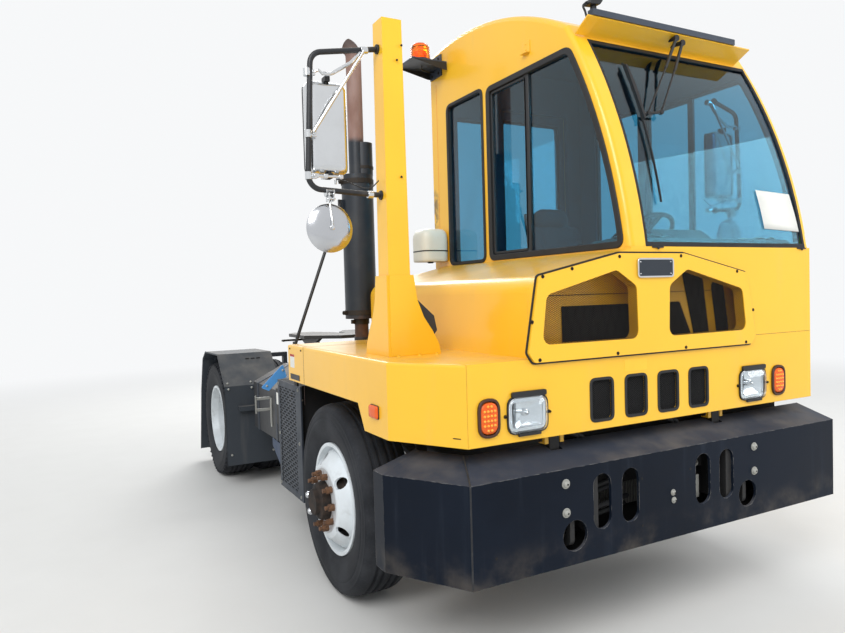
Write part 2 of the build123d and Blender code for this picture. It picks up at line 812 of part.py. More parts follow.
# Left steps up to the platform behind the cab
platform_y = (740.0, 1130.0)
platform_x = (-560.0, 1150.0)
platform_thick = 30.0
step_x = (830.0, 1150.0)
step_z = (340.0, 620.0)
step_thick = 28.0
step_cheek = 30.0
with BuildPart() as steps:
    block(platform_x, platform_y, (rail_top_z, rail_top_z + platform_thick))
    for y in (platform_y[0], platform_y[1] - step_cheek):
        block(step_x, (y, y + step_cheek), (step_z[0], rail_top_z))
    for z in step_z:
        tread_y = (platform_y[0] + step_cheek, platform_y[1] - step_cheek)
        block(step_x, tread_y, (z, z + step_thick))
save(steps.part, "steps")

# Exhaust stack behind the right deck
stack = (-690.0, 660.0)
stack_radius = 50.0
bend_z = 3150.0
bend_radius = 90.0
bend_turn = 60.0
muffler_radius = 103.0
muffler_z = (1460.0, 2390.0)
riser_radius = 45.0
shield_radius = 63.0
shield_shift = 46.0
shield_top_z = 2600.0
stack_arm_y = (625.0, 695.0)
stack_arm_z = (820.0, 870.0)
brace_foot = (-1150.0, 640.0, 1314.0)
brace_head = (-812.0, 660.0, 2200.0)
brace_radius = 10.0
with BuildPart() as exhaust_stack:
    block((stack[0] - 70, -rail_outer_x), stack_arm_y, stack_arm_z)
    rod_z(stack, riser_radius, (stack_arm_z[1], muffler_z[0]))
    rod_z(stack, muffler_radius, muffler_z)
    foot = Vector(brace_foot[0], front_axle_y + brace_foot[1], brace_foot[2])
    head = Vector(brace_head[0], front_axle_y + brace_head[1], brace_head[2])
    with BuildSketch(Plane(origin=foot, z_dir=head - foot)) as brace:
        Circle(brace_radius)
    extrude(brace.sketch, amount=(head - foot).length)
    clamp_z = (brace_head[2] - 30, brace_head[2] + 30)
    block((brace_head[0] - 14, stack[0]), (stack[1] - 8, stack[1] + 8), clamp_z)
    bracket_x = (brace_foot[0] - 6, brace_foot[0] + 6)
    bracket_y = (brace_foot[1] - 28, brace_foot[1] + 28)
    block(bracket_x, bracket_y, (guard_z[1], brace_foot[2] + 20))
    rod_z((stack[0] + shield_shift, stack[1]), shield_radius, (muffler_z[1], shield_top_z))
    rod_z(stack, stack_radius, (muffler_z[1], bend_z))
    turn = Plane(
        origin=(stack[0], front_axle_y + stack[1], bend_z), x_dir=(-1, 1, 0), z_dir=(1, 1, 0)
    )
    with BuildLine(turn) as bend_path:
        CenterArc((bend_radius, 0), bend_radius, 180, -bend_turn)
    with BuildSketch(Plane(origin=bend_path.line @ 0, z_dir=(0, 0, 1))) as mouth:
        Circle(stack_radius)
    sweep(mouth.sketch, path=bend_path.line)
save(exhaust_stack.part, "exhaust_stack")

# Fifth wheel boom
with BuildPart() as boom:
    for side in (-1, 1):
        inner = boom_half_width - boom_arm
        arm = sorted((side * inner, side * boom_half_width))
        side_prism(
            (
                (boom_pivot[0] - 40, boom_pivot[1] - 50),
                (lift_eye[0] - 250, boom_pivot[1] - 60),
                (fifth_pivot[0] + 100, fifth_pivot[1] - 365),
                (fifth_pivot[0] + 160, fifth_pivot[1] - 265),
                (fifth_pivot[0] + 60, fifth_pivot[1]),
                (fifth_pivot[0] + 30, fifth_pivot[1] + 42),
                (fifth_pivot[0] - 30, fifth_pivot[1] + 42),
                (fifth_pivot[0] - 70, fifth_pivot[1] - 20),
                (fifth_pivot[0] - 240, fifth_pivot[1] - 215),
                (boom_pivot[0] + 60, boom_pivot[1] + 80),
                (boom_pivot[0] - 40, boom_pivot[1] + 50),
            ),
            arm,
        )
        rod_x(boom_pivot, 58, arm)
    cross_z = (boom_pivot[1] - 30, boom_pivot[1] + 70)
    block((-inner, inner), (boom_pivot[0] + 110, boom_pivot[0] + 230), cross_z)
    cross_z = (lift_eye[1] - 30, lift_eye[1] + 70)
    block((-inner, inner), (lift_eye[0] + 150, lift_eye[0] + 270), cross_z)
    rod_x(lift_eye, lift_pin_radius, (-inner, inner))
    hole = boom_pin_radius + running_gap
    rod_x(boom_pivot, hole, (-boom_half_width, boom_half_width), Mode.SUBTRACT)
    rod_x(fifth_pivot, hole, (-boom_half_width, boom_half_width), Mode.SUBTRACT)
save(boom.part, "boom")

with BuildPart() as fifth_wheel:
    front = fifth_pivot[0] - fifth_half_length
    rear = fifth_pivot[0] + fifth_half_length
    plate_z = (fifth_top_z - 30, fifth_top_z)
    plan_prism(
        (
            (-180, front),
            (180, front),
            (fifth_half_width, front + 250),
            (fifth_half_width, rear - 130),
            (fifth_half_width - 90, rear),
            (170, rear),
            (kingpin_throat, fifth_pivot[0] + 160),
            (kingpin_throat, fifth_pivot[0]),
            (-kingpin_throat, fifth_pivot[0]),
            (-kingpin_throat, fifth_pivot[0] + 160),
            (-170, rear),
            (-fifth_half_width + 90, rear),
            (-fifth_half_width, rear - 130),
            (-fifth_half_width, front + 250),
        ),
        plate_z,
    )
    rod_z((0, fifth_pivot[0]), kingpin_throat, (fifth_top_z - 31, fifth_top_z + 1), Mode.SUBTRACT)
    for side in (-1, 1):
        rib = sorted((side * (boom_half_width + move_gap), side * (boom_half_width + 36)))
        side_prism(
            (
                (fifth_pivot[0] - 300, plate_z[0]),
                (fifth_pivot[0] - 60, fifth_pivot[1] - 40),
                (fifth_pivot[0] + 60, fifth_pivot[1] - 40),
                (fifth_pivot[0] + 300, plate_z[0]),
            ),
            rib,
        )
        pin = sorted((side * inner, side * (boom_half_width + 36)))
        rod_x(fifth_pivot, boom_pin_radius, pin)
save(fifth_wheel.part, "fifth_wheel")

# Lift cylinders, from the frame's low cross beam to the boom's pin
lift_run = (lift_eye[0] - lift_base[0], lift_eye[1] - lift_base[1])
lift_length = math.hypot(*lift_run)
lift_way = (0, lift_run[0] / lift_length, lift_run[1] / lift_length)
barrel_start = 20.0
barrel_end = 355.0
rod_start = 70.0
eye_clear = 5.0
rod_eye_radius = 42.0
rod_eye_half_width = 34.0


def lift_plane(x, along):
    """A plane square to the lift cylinder at x, the given length up from its base pin."""
    y = front_axle_y + lift_base[0] + along * lift_way[1]
    z = lift_base[1] + along * lift_way[2]
    return Plane(origin=(x, y, z), x_dir=(1, 0, 0), z_dir=lift_way)


def add_rod(x, radius, along, mode=Mode.ADD):
    with BuildSketch(lift_plane(x, along[0])) as end:
        Circle(radius)
    extrude(end.sketch, amount=along[1] - along[0], mode=mode)


with BuildPart() as lift_barrels:
    for x in (-lift_x, lift_x):
        rod_x(lift_base, 36, (x - 34, x + 34))
        add_rod(x, lift_barrel_radius, (barrel_start + 14, barrel_end))
        add_rod(x, lift_rod_radius + running_gap, (rod_start - 10, barrel_end + 1), Mode.SUBTRACT)
        rod_x(lift_base, lift_pin_radius + running_gap, (x - 35, x + 35), Mode.SUBTRACT)
save(lift_barrels.part, "lift_barrels")

with BuildPart() as lift_rods:
    for x in (-lift_x, lift_x):
        add_rod(x, lift_rod_radius, (rod_start, lift_length - rod_eye_radius + 10))
        eye = (x - rod_eye_half_width, x + rod_eye_half_width)
        rod_x(lift_eye, rod_eye_radius, eye)
        rod_x(lift_eye, lift_pin_radius + eye_clear, (eye[0] - 1, eye[1] + 1), Mode.SUBTRACT)
save(lift_rods.part, "lift_rods")

# Front body panel, with its grille openings and lamp holes
# Lamps: (place, height, width, tall, corner)
headlamp = (716.0, 1106.0, 175.0, 168.0, 40.0)
turn_lamp = (916.0, 1100.0, 100.0, 155.0, 48.0)
lower_grilles = (310.6, 103.5)
lower_grille_size = (126.0, 183.0, 25.0)
lower_grille_z = 1117.5
upper_openings = (
    ((-648, 1381), (-621, 1590), (-225, 1692), (-105, 1618), (-98, 1379)),
    ((98, 1379), (105, 1618), (225, 1692), (621, 1590), (648, 1381)),
)
upper_corner = 38.0


def hood_outline(y, base_z, wall, rest=()):
    """Front outline of the hood, or of its cavity a wall inwards, closed by the rest of its points."""
    slope = math.atan2(hood_cab_z - hood_ridge_z, cab_right_x - hood_right_x)
    drop = wall / math.cos(slope)
    low = (hood_right_x + wall, base_z)
    ridge = (low[0], hood_ridge_z + wall * math.tan(slope) - drop)
    top = (cab_right_x, hood_cab_z - drop)
    with BuildSketch(cross_plane(y)) as flat:
        with BuildLine():
            FilletPolyline(low, ridge, top, radius=hood_ridge_radius - wall)
            Polyline(top, *(rest or ((cab_right_x, base_z),)), low)
        make_face()
    return flat.sketch


def cut_rounded(x, z, wide, tall, corner, y, mode=Mode.SUBTRACT):
    """Cuts or adds a rounded rectangle about (x, z) between the two lengths y."""
    with BuildSketch(cross_plane(y[1])) as flat:
        with Locations((x, z)):
            RectangleRounded(wide, tall, corner)
    extrude(flat.sketch, amount=y[1] - y[0], mode=mode)


panel_y = (body_front_y, body_front_y + panel_wall)
through = (body_front_y - 40, panel_y[1] + 1)
# Pan behind the upper openings: its depth, its outline from the hood's side to the cab's left wall,
# and the screens in its back wall
pan_wall = 12.0
pan_y = (panel_y[1], body_front_y + 140)
pan_top_z = 1718.0
pan_bottom_z = 1308.0
pan_hood_x = (-640.0, -220.0, -110.0)
pan_hood_z = (1600.0, 1700.0)
pan_screens = (
    ((-425, 1325), (430, 1325), (330, 1535), (-425, 1535)),
    ((440, 1330), (548, 1330), (500, 1660), (345, 1696)),
    ((606, 1340), (700, 1340), (655, 1626), (560, 1636)),
)
screen_corner = 15.0
screen_sheet = 6.0
cab_left_inner_x = body_left_x - panel_wall
with BuildPart() as front_panel:
    around = (
        (cab_right_x, sill_z),
        (cab_left_inner_x, sill_z),
        (cab_left_inner_x, body_bottom_z),
        (body_right_x, body_bottom_z),
        (body_right_x, deck_z),
    )
    extrude(hood_outline(panel_y[1], deck_z, 0, around), amount=panel_wall)
    pan = (
        (pan_hood_x[0], pan_bottom_z),
        (pan_hood_x[0], pan_hood_z[0]),
        (pan_hood_x[1], pan_hood_z[1]),
        (pan_hood_x[2], pan_top_z),
        (cab_left_inner_x, pan_top_z),
        (cab_left_inner_x, pan_bottom_z),
    )
    cross_prism(pan, pan_y)
    hollow = inset(outline(cross_plane(pan_y[1] - pan_wall), pan), pan_wall)
    extrude(hollow, amount=pan_y[1] - pan_y[0] - pan_wall, mode=Mode.SUBTRACT)
    for points in upper_openings:
        cross_prism(points, through, Mode.SUBTRACT, corner=upper_corner)
    for side in (-1, 1):
        for x in lower_grilles:
            cut_rounded(side * x, lower_grille_z, *lower_grille_size, through)
        x, z, wide, tall, corner = headlamp
        cut_rounded(side * x, z, wide, tall, corner, through)
        x, z, wide, tall, corner = turn_lamp
        cut_rounded(side * x, z, wide, tall, corner, through)
        for x in (inner_ear_x, outer_ear_x):
            reach = (side * x - ear_thickness / 2, side * x + ear_thickness / 2)
            side_prism(
                (
                    (hinge_y - ear_radius, hinge_z - ear_radius),
                    (hinge_y + ear_radius, hinge_z - ear_radius),
                    (hinge_y + ear_radius, body_bottom_z + 40),
                    (panel_y[1] - 1, body_bottom_z + 110),
                    (panel_y[1] - 1, body_bottom_z),
                    (hinge_y - ear_radius, body_bottom_z),
                ),
                reach,
            )
        pin = sorted((side * (inner_ear_x - 20), side * (outer_ear_x + 20)))
        rod_x((hinge_y, hinge_z), hinge_pin_radius, pin)
save(front_panel.part, "front_panel")

grille_panel_y = (body_front_y - 18, body_front_y)
with BuildPart() as grille_panel:
    cross_prism(
        (
            (-720, 1350),
            (-690, 1308),
            (690, 1308),
            (720, 1350),
            (660, 1670),
            (205, 1767),
            (-205, 1767),
            (-660, 1670),
        ),
        grille_panel_y,
        corner=20,
    )
    for points in upper_openings:
        cross_prism(points, through, Mode.SUBTRACT, corner=upper_corner)
save(grille_panel.part, "grille_panel")

mesh_y = (body_front_y + 24, body_front_y + 24 + screen_sheet)
pan_back_y = pan_y[1] - pan_wall
with BuildPart() as grille_mesh:
    for points in pan_screens:
        cross_prism(points, (pan_back_y - screen_sheet, pan_back_y), corner=screen_corner)
    for side in (-1, 1):
        for x in lower_grilles:
            wide, tall, corner = lower_grille_size
            gap = 2 * running_gap
            cut_rounded(side * x, lower_grille_z, wide - gap, tall - gap, corner, mesh_y, Mode.ADD)
save(grille_mesh.part, "grille_mesh")

# Hood over the right of the engine, and the right fender with its deck
with BuildPart() as hood:
    base_z = deck_z - sheet_wall
    length = hood_rear_y - panel_y[1]
    extrude(hood_outline(hood_rear_y, base_z, 0), amount=length)
    cavity = hood_outline(hood_rear_y - sheet_wall, base_z - 1, sheet_wall)
    extrude(cavity, amount=length, mode=Mode.SUBTRACT)
save(hood.part, "hood")

fender_plan = (
    (body_right_x, body_front_y),
    (fender_side_x, fender_bevel_y),
    (fender_side_x, fender_rear_y),
    (hood_right_x, fender_rear_y),
    (hood_right_x, panel_y[1]),
    (body_right_x, panel_y[1]),
)
with BuildPart() as right_fender:
    plan_prism(fender_plan, (deck_z - sheet_wall, deck_z))
    skirt = (
        (body_right_x, body_front_y),
        (fender_side_x, fender_bevel_y),
        (fender_side_x, fender_rear_y),
        (hood_right_x, fender_rear_y),
    )
    path = sheet_outline(skirt[::-1], sheet_wall)
    plan_prism(path, (body_bottom_z, deck_z - sheet_wall))
    block((body_right_x, -600), (-1300, panel_y[1]), (900, deck_z + 1), Mode.SUBTRACT)
    side_prism(
        (
            (arch_foot_y, body_bottom_z - 1),
            (arch_front_y, arch_z),
            (fender_rear_y + 1, arch_z),
            (fender_rear_y + 1, body_bottom_z - 1),
        ),
        (fender_side_x - 1, -600),
        Mode.SUBTRACT,
    )
    rim = right_fender.faces().filter_by(Axis.Z).sort_by(Axis.Z)[-1].edges()
    side_rim = [e for e in rim if e.center().X < body_right_x - 1]
    rear_rim = [e for e in rim if e.center().Y > front_axle_y + fender_rear_y - 1]
    fillet({*side_rim, *rear_rim}, deck_edge_radius)
save(right_fender.part, "right_fender")

# Cab
with BuildPart() as cab_floor:
    cross_prism(
        (
            (cab_right_x, tunnel_top_z),
            (tunnel_left_x, tunnel_top_z),
            (tunnel_left_x, floor_top_z),
            (cab_left_inner_x, floor_top_z),
            (cab_left_inner_x, arch_z),
            (tunnel_left_x - panel_wall, arch_z),
            (tunnel_left_x - panel_wall, tunnel_top_z - panel_wall),
            (cab_right_x, tunnel_top_z - panel_wall),
        ),
        (floor_front_y, cab_rear_y - panel_wall),
    )
    tunnel_x = (cab_right_x, tunnel_left_x)
    tunnel_z = (tunnel_top_z - panel_wall, tunnel_top_z)
    block(tunnel_x, (pan_y[1], floor_front_y), tunnel_z)
    cheek = ((floor_front_y, arch_z), (floor_front_y, tunnel_top_z), (pan_y[1], tunnel_top_z))
    side_prism(cheek, (tunnel_left_x - panel_wall, tunnel_left_x))
    side_prism(
        (
            (floor_front_y, arch_z),
            (floor_front_y, floor_top_z),
            (pan_y[1], tunnel_top_z + panel_wall),
            (pan_y[1], tunnel_top_z),
        ),
        (tunnel_left_x, cab_left_inner_x),
    )
save(cab_floor.part, "cab_floor")

# Side windows: the long one has a curved front edge.  Lengths, then heights.
long_window_rear_y = -30.0
long_window_lift = 10.0
long_window_drop = 126.0
long_window_z = (sill_z + long_window_lift, header_z - long_window_drop)
long_window_inset = 52.0
short_window_y = (30.0, 450.0)
short_window_drop = 106.0
short_window_z = (sill_z, header_z - short_window_drop)
window_corner = 45.0


def long_window(plane):
    """Outline of the long side window, parallel to the windscreen's curve in front."""
    low, high = long_window_z
    middle = (low + high) / 2
    with BuildSketch(plane) as flat:
        with BuildLine():
            front = [(screen_y(z, long_window_inset), z) for z in (low, middle, high)]
            ThreePointArc(*front)
            Polyline(front[2], (long_window_rear_y, high), (long_window_rear_y, low), front[0])
        make_face()
        fillet(flat.vertices(), window_corner)
    return flat.sketch


def short_window(plane):
    with BuildSketch(plane) as flat:
        with Locations((sum(short_window_y) / 2, sum(short_window_z) / 2)):
            RectangleRounded(
                short_window_y[1] - short_window_y[0],
                short_window_z[1] - short_window_z[0],
                window_corner,
            )
    return flat.sketch


def cab_side(plane, lower):
    """Side outline of the cab above the given lower edge, which runs from rear to front."""
    sill = (screen_y(sill_z), sill_z)
    with BuildSketch(plane) as flat:
        with BuildLine():
            roof_rear = (cab_rear_y, roof_z(cab_rear_y))
            ThreePointArc(sill, (screen_y(2340), 2340), header)
            ThreePointArc(header, (-50, roof_z(-50)), roof_rear)
            Polyline(roof_rear, *lower, sill)
        make_face()
    return flat.sketch


def round_cab_edge(side_part, end):
    """Rounds the outer edge of a cab side along the windscreen and the roof."""
    skin = side_part.faces().filter_by(Axis.X).sort_by(Axis.X)[end]
    arcs = skin.outer_wire().edges().filter_by(GeomType.CIRCLE)
    fillet([e for e in arcs if e.radius > cab_edge_least], cab_edge_radius)


pillar_inner_x = cab_right_x + pillar_width
with BuildPart() as cab_right_side:
    low = (
        (cab_rear_y, tunnel_top_z),
        (pan_y[1], tunnel_top_z),
        (pan_y[1], pan_top_z),
        (panel_y[1], pan_top_z),
        (panel_y[1], sill_z),
    )
    plane = side_plane(cab_right_x)
    extrude(cab_side(plane, low), amount=pillar_width)
    hollow = cab_side(side_plane(cab_right_x + panel_wall), low)
    extrude(inset(hollow, pillar_depth), amount=pillar_width, mode=Mode.SUBTRACT)
    block(
        (cab_right_x + panel_wall, pillar_inner_x + 1),
        (panel_y[1] - 60, cab_rear_y + 1),
        (tunnel_top_z - 1, sill_z),
        Mode.SUBTRACT,
    )
    extrude(long_window(side_plane(cab_right_x - 1)), amount=panel_wall + 2, mode=Mode.SUBTRACT)
    extrude(short_window(side_plane(cab_right_x - 1)), amount=panel_wall + 2, mode=Mode.SUBTRACT)
    round_cab_edge(cab_right_side, 0)
save(cab_right_side.part, "cab_right_side")

with BuildPart() as cab_left_side:
    low = (
        (cab_rear_y, arch_z),
        (arch_front_y, arch_z),
        (arch_foot_y, body_bottom_z),
        (body_front_y, body_bottom_z),
        (body_front_y, sill_z),
    )
    extrude(cab_side(side_plane(cab_left_inner_x), low), amount=panel_wall)
    for window in (long_window, short_window):
        cut = window(side_plane(cab_left_inner_x - 1))
        extrude(cut, amount=panel_wall + 2, mode=Mode.SUBTRACT)
    round_cab_edge(cab_left_side, -1)
save(cab_left_side.part, "cab_left_side")

roof_wall = 40.0
roof_foot_z = roof_z(cab_rear_y - panel_wall, roof_wall)
visor_x = (-100.0, 1095.0)
visor_reach = 140.5
visor_front = (header[0] - visor_reach, header_z - 4)
visor_root_z = screen_top_z + 13
inner_front_y = header[0] + 64
light_bar_x = (-70.0, 965.0)
visor_sheet = 8.0
with BuildPart() as roof:
    with BuildSketch(side_plane(pillar_inner_x)) as section:
        with BuildLine():
            rear = cab_rear_y - panel_wall
            root = (screen_y(screen_top_z), screen_top_z)
            middle_z = (screen_top_z + header[1]) / 2
            Polyline(
                (root[0] + 60, screen_top_z),
                root,
                (screen_y(middle_z), middle_z),
                header,
            )
            ThreePointArc(header, (-50, roof_z(-50)), (cab_rear_y, roof_z(cab_rear_y)))
            Polyline(
                (cab_rear_y, roof_z(cab_rear_y)),
                (cab_rear_y, roof_foot_z),
                (rear, roof_foot_z),
            )
            ThreePointArc(
                (rear, roof_foot_z),
                (-50, roof_z(-50, roof_wall)),
                (inner_front_y, roof_z(inner_front_y, roof_wall)),
            )
            Line((inner_front_y, roof_z(inner_front_y, roof_wall)), (root[0] + 60, screen_top_z))
        make_face()
    extrude(section.sketch, amount=cab_left_inner_x - pillar_inner_x)
    visor_root = (screen_y(visor_root_z) + 4, visor_root_z)
    side_prism(sheet_outline((visor_front, visor_root), visor_sheet), (pillar_inner_x, visor_x[1]))
    side_prism(
        sheet_outline((visor_front, (visor_root[0] - 12, visor_root_z)), visor_sheet),
        (visor_x[0], pillar_inner_x),
    )
save(roof.part, "roof")

rear_window_x = (60.0, 380.0)
door_x = (400.0, 1080.0)
door_z = (1190.0, 2960.0)
door_sheet = 28.0
door_y = (cab_rear_y + move_gap, cab_rear_y + move_gap + door_sheet)
door_lap = 40.0
door_travel = 600.0
rail_lip = 8.0
with BuildPart() as cab_rear_wall:
    rear_wall_y = (cab_rear_y - panel_wall, cab_rear_y)
    block((pillar_inner_x, cab_left_inner_x), rear_wall_y, (arch_z, roof_foot_z))
    opening_x = (door_x[0] + door_lap, door_x[1] - door_lap)
    opening_z = (door_z[0] + door_lap, door_z[1] - door_lap)
    across = (rear_wall_y[0] - 1, rear_wall_y[1] + 1)
    block(opening_x, across, opening_z, Mode.SUBTRACT)
    block(rear_window_x, across, long_window_z, Mode.SUBTRACT)
    rail_x = (pillar_inner_x - 60, cab_left_inner_x - 20)
    lip_y = (door_y[1] + move_gap, door_y[1] + move_gap + rail_lip)
    for base, edge in ((door_z[0], -1), (door_z[1], 1)):
        seat = sorted((base + edge * running_gap, base + edge * 30))
        block(rail_x, (cab_rear_y, lip_y[1]), seat)
        lip_z = sorted((base - edge * 20, base + edge * 30))
        block(rail_x, lip_y, lip_z)
save(cab_rear_wall.part, "cab_rear_wall")

door_window_x = (door_x[0] + 80, door_x[1] - 80)
door_window_z = (1700.0, 2860.0)
with BuildPart() as rear_door:
    block(door_x, door_y, door_z)
    across = (door_y[0] - 1, door_y[1] + 1)
    block(door_window_x, across, door_window_z, Mode.SUBTRACT)
    block((door_x[0] + 20, door_x[0] + 45), (door_y[1], door_y[1] + 14), (1900, 2060))
save(rear_door.part, "rear_door")

with BuildPart() as rear_door_glass:
    pane_y = (sum(door_y) / 2 - glass_thickness / 2, sum(door_y) / 2 + glass_thickness / 2)
    block(door_window_x, pane_y, door_window_z)
save(rear_door_glass.part, "rear_door_glass")

with BuildPart() as cab_glass:
    middle_z = (sill_z + screen_top_z) / 2
    with BuildSketch(side_plane(pillar_inner_x)) as pane:
        with BuildLine():
            outer_edge = [(screen_y(z, 8), z) for z in (sill_z, middle_z, screen_top_z)]
            inner_edge = [(screen_y(z, 16), z) for z in (sill_z, middle_z, screen_top_z)]
            ThreePointArc(*outer_edge)
            Line(outer_edge[2], inner_edge[2])
            ThreePointArc(*inner_edge[::-1])
            Line(inner_edge[0], outer_edge[0])
        make_face()
    extrude(pane.sketch, amount=cab_left_inner_x - pillar_inner_x)
    for x in (cab_right_x + 16, cab_left_inner_x + 16):
        for window in (long_window, short_window):
            extrude(inset(window(side_plane(x))), amount=glass_thickness)
    pane_y = (cab_rear_y - 24, cab_rear_y - 24 + glass_thickness)
    block(rear_window_x, pane_y, long_window_z)
save(cab_glass.part, "cab_glass")

# Dash section, over and behind the pan: (length, height)
dash_section = (
    (pan_y[1], 1560),
    (pan_y[1], pan_top_z),
    (panel_y[1], pan_top_z),
    (panel_y[1], 1790),
    (-1060, 1850),
    (-820, 1850),
    (-740, 1790),
    (-740, 1640),
    (-860, 1560),
)
dash_round = 18.0
wheel_centre = (560.0, -560.0, 1890.0)
steering_radius = 200.0
steering_grip = 13.0
spoke_width = 30.0
spoke_half = 8.0
boss_radius = 45.0
column_radius = 28.0
column_length = 330.0
with BuildPart() as dash:
    dash_x = (pillar_inner_x, cab_left_inner_x)
    extrude(outline(side_plane(dash_x[0]), dash_section), amount=dash_x[1] - dash_x[0])
    long_edges = dash.edges().filter_by(Axis.X)
    fillet([e for e in long_edges if e.center().Y > front_axle_y + pan_y[1] + 1], dash_round)
    lean = Plane(
        origin=(wheel_centre[0], front_axle_y + wheel_centre[1], wheel_centre[2]),
        x_dir=(1, 0, 0),
        z_dir=(0, 0.8, 1),
    )
    with BuildSketch(lean.offset(-column_length)) as column:
        Circle(column_radius)
    extrude(column.sketch, amount=column_length)
    with BuildSketch(lean) as spokes:
        Rectangle(2 * steering_radius, spoke_width)
        Rectangle(spoke_width, 2 * steering_radius)
        Circle(boss_radius)
    extrude(spokes.sketch, amount=spoke_half, both=True)
    with Locations(lean):
        Torus(steering_radius, steering_grip)
save(dash.part, "dash")

seat_base_x = (450.0, 700.0)
seat_base_y = (-150.0, 200.0)
seat_base_top_z = 1420.0
seat_x = (430.0, 900.0)
seat_side = ((-260, 1420), (-260, 1530), (180, 1520), (330, 2180), (420, 2170), (290, 1420))
seat_round = 25.0
with BuildPart() as seat:
    block(seat_base_x, seat_base_y, (floor_top_z, seat_base_top_z))
    side_prism(seat_side, seat_x, corner=seat_round)
save(seat.part, "seat")

# Lamps
lamp_y = (body_front_y - 12, body_front_y + 38)
marker_y = (-714.7, -654.7)
marker_z = (1064.0, 1116.0)
marker_depth = 16.0
with BuildPart() as headlamps:
    x, z, wide, tall, corner = headlamp
    gap = 2 * running_gap
    for side in (-1, 1):
        cut_rounded(side * x, z, wide - gap, tall - gap, corner - 1, lamp_y, Mode.ADD)
save(headlamps.part, "headlamps")

beacon_place = (-250.0, 540.0)
beacon_z = (3126.0, 3226.0)
beacon_radius = 60.0
with BuildPart() as amber_lamps:
    x, z, wide, tall, corner = turn_lamp
    for side in (-1, 1):
        cut_rounded(side * x, z, wide - gap, tall - gap, corner - 1, lamp_y, Mode.ADD)
    for skin_x in (fender_side_x - marker_depth, body_left_x):
        block((skin_x, skin_x + marker_depth), marker_y, marker_z)
    rod_z(beacon_place, beacon_radius, beacon_z)
    crown = amber_lamps.edges().filter_by(GeomType.CIRCLE).sort_by(Axis.Z)[-1]
    fillet(crown, beacon_radius / 2)
save(amber_lamps.part, "amber_lamps")

with BuildPart() as roof_fittings:
    block((-380, cab_right_x - 10), (420, 650), (beacon_z[0] - 8, beacon_z[0]))
    block((cab_right_x - 10, cab_right_x), (500, 650), (3060, 3200))
    bar_z = visor_front[1] + visor_sheet + running_gap
    bar_y = (visor_front[0] - 4, visor_front[0] + 36)
    block(light_bar_x, bar_y, (bar_z, bar_z + 30))
save(roof_fittings.part, "roof_fittings")

side_tank_round = 28.0
with BuildPart() as side_tank:
    block((-320, cab_right_x), (450, 650), (1820, 2040))
    free_edges = [e for e in side_tank.edges() if e.center().X < cab_right_x - 1]
    fillet(free_edges, side_tank_round)
save(side_tank.part, "side_tank")

# Mirror post on the deck, with its plates
post_x = (-1086.0, -971.0)
post_y = (-621.0, -506.0)
post_top_z = 2880.0
post_top_inset = 7.5
post_plate = 10.0
# Flare of the post's plates, from the deck up: (out from the post, height)
plate_flare = ((147, deck_z), (138, 1370), (104, 1435), (60, 1500), (28, 1580), (10, 1700))
with BuildPart() as mirror_post:
    with BuildSketch(plan_plane(deck_z)):
        with Locations((sum(post_x) / 2, sum(post_y) / 2)):
            Rectangle(post_x[1] - post_x[0], post_y[1] - post_y[0])
    lean_angle = math.degrees(math.atan(post_top_inset / (post_top_z - deck_z)))
    extrude(amount=post_top_z - deck_z, taper=lean_angle)
    front_plate = [(post_x[1] + out, z) for out, z in plate_flare]
    cross_prism(
        ((post_x[0], plate_flare[-1][1]), (post_x[0], deck_z), *front_plate),
        (post_y[0] - post_plate, post_y[0] + 2),
    )
    side_plate = [(post_y[1] + out, z) for out, z in plate_flare]
    side_prism(
        ((post_y[0], plate_flare[-1][1]), (post_y[0], deck_z), *side_plate),
        (post_x[0] - post_plate, post_x[0] + 2),
    )
save(mirror_post.part, "mirror_post")

# Mirror arms: bent tubes, on the post and on the cab's left side
arm_y = (post_y[0] + post_y[1]) / 2
arm_radius = 12.5
arm_out_x = 1437.5
arm_top_z = 2747.0
arm_low_z = 2075.0


def post_face_x(z):
    """Place of the post's outer face at height z."""
    return post_x[0] + post_top_inset * (z - deck_z) / (post_top_z - deck_z) - running_gap


def add_arm(start_top, start_low, side):
    """A bent mirror tube between two round feet, the upper foot at one place x, the lower at another."""
    foot = 8 * side
    points = (
        (start_top + foot / 2, arm_top_z),
        (side * (arm_out_x - 30), arm_top_z - 59),
        (side * arm_out_x, arm_low_z + 15),
        (start_low + foot / 2, arm_low_z),
    )
    rod_x((arm_y, arm_top_z), 20, sorted((start_top, start_top + foot)))
    rod_x((arm_y, arm_low_z), 20, sorted((start_low, start_low + foot)))
    plane = cross_plane(arm_y)
    with BuildLine(plane) as path:
        FilletPolyline(*points, radius=60)
    with BuildSketch(Plane(origin=path.line @ 0, z_dir=path.line % 0)) as end:
        Circle(arm_radius)
    sweep(end.sketch, path=path.line)


with BuildPart() as mirror_arms:
    add_arm(post_face_x(arm_top_z), post_face_x(arm_low_z), -1)
    add_arm(body_left_x, body_left_x, 1)
save(mirror_arms.part, "mirror_arms")

head_x = (1228.0, 1420.0)
head_z = (2165.0, 2580.0)
head_y = (arm_y + arm_radius + running_gap, arm_y + arm_radius + 85)
round_centre = (1339.0, 1917.0)
round_radius = 110.0
head_round = 22.0
with BuildPart() as mirror_heads:
    for side in (-1, 1):
        reach = sorted((side * head_x[0], side * head_x[1]))
        block(reach, head_y, head_z)
        fillet(mirror_heads.edges().group_by(Axis.Z)[-1], head_round)
        rod_y((side * round_centre[0], round_centre[1]), round_radius, (arm_y - 20, arm_y + 20))
        stem_top = arm_low_z - arm_radius - 4
        rod_z((side * round_centre[0], arm_y), 8, (round_centre[1], stem_top))
save(mirror_heads.part, "mirror_heads")
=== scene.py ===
"""Looks of the terminal tractor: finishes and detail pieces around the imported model.

Metres.  +X is the vehicle's left, -Y its front, +Z up.  The pieces give their lengths from the
front axle, and Shape.put() and grow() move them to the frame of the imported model.
"""

import json
import math

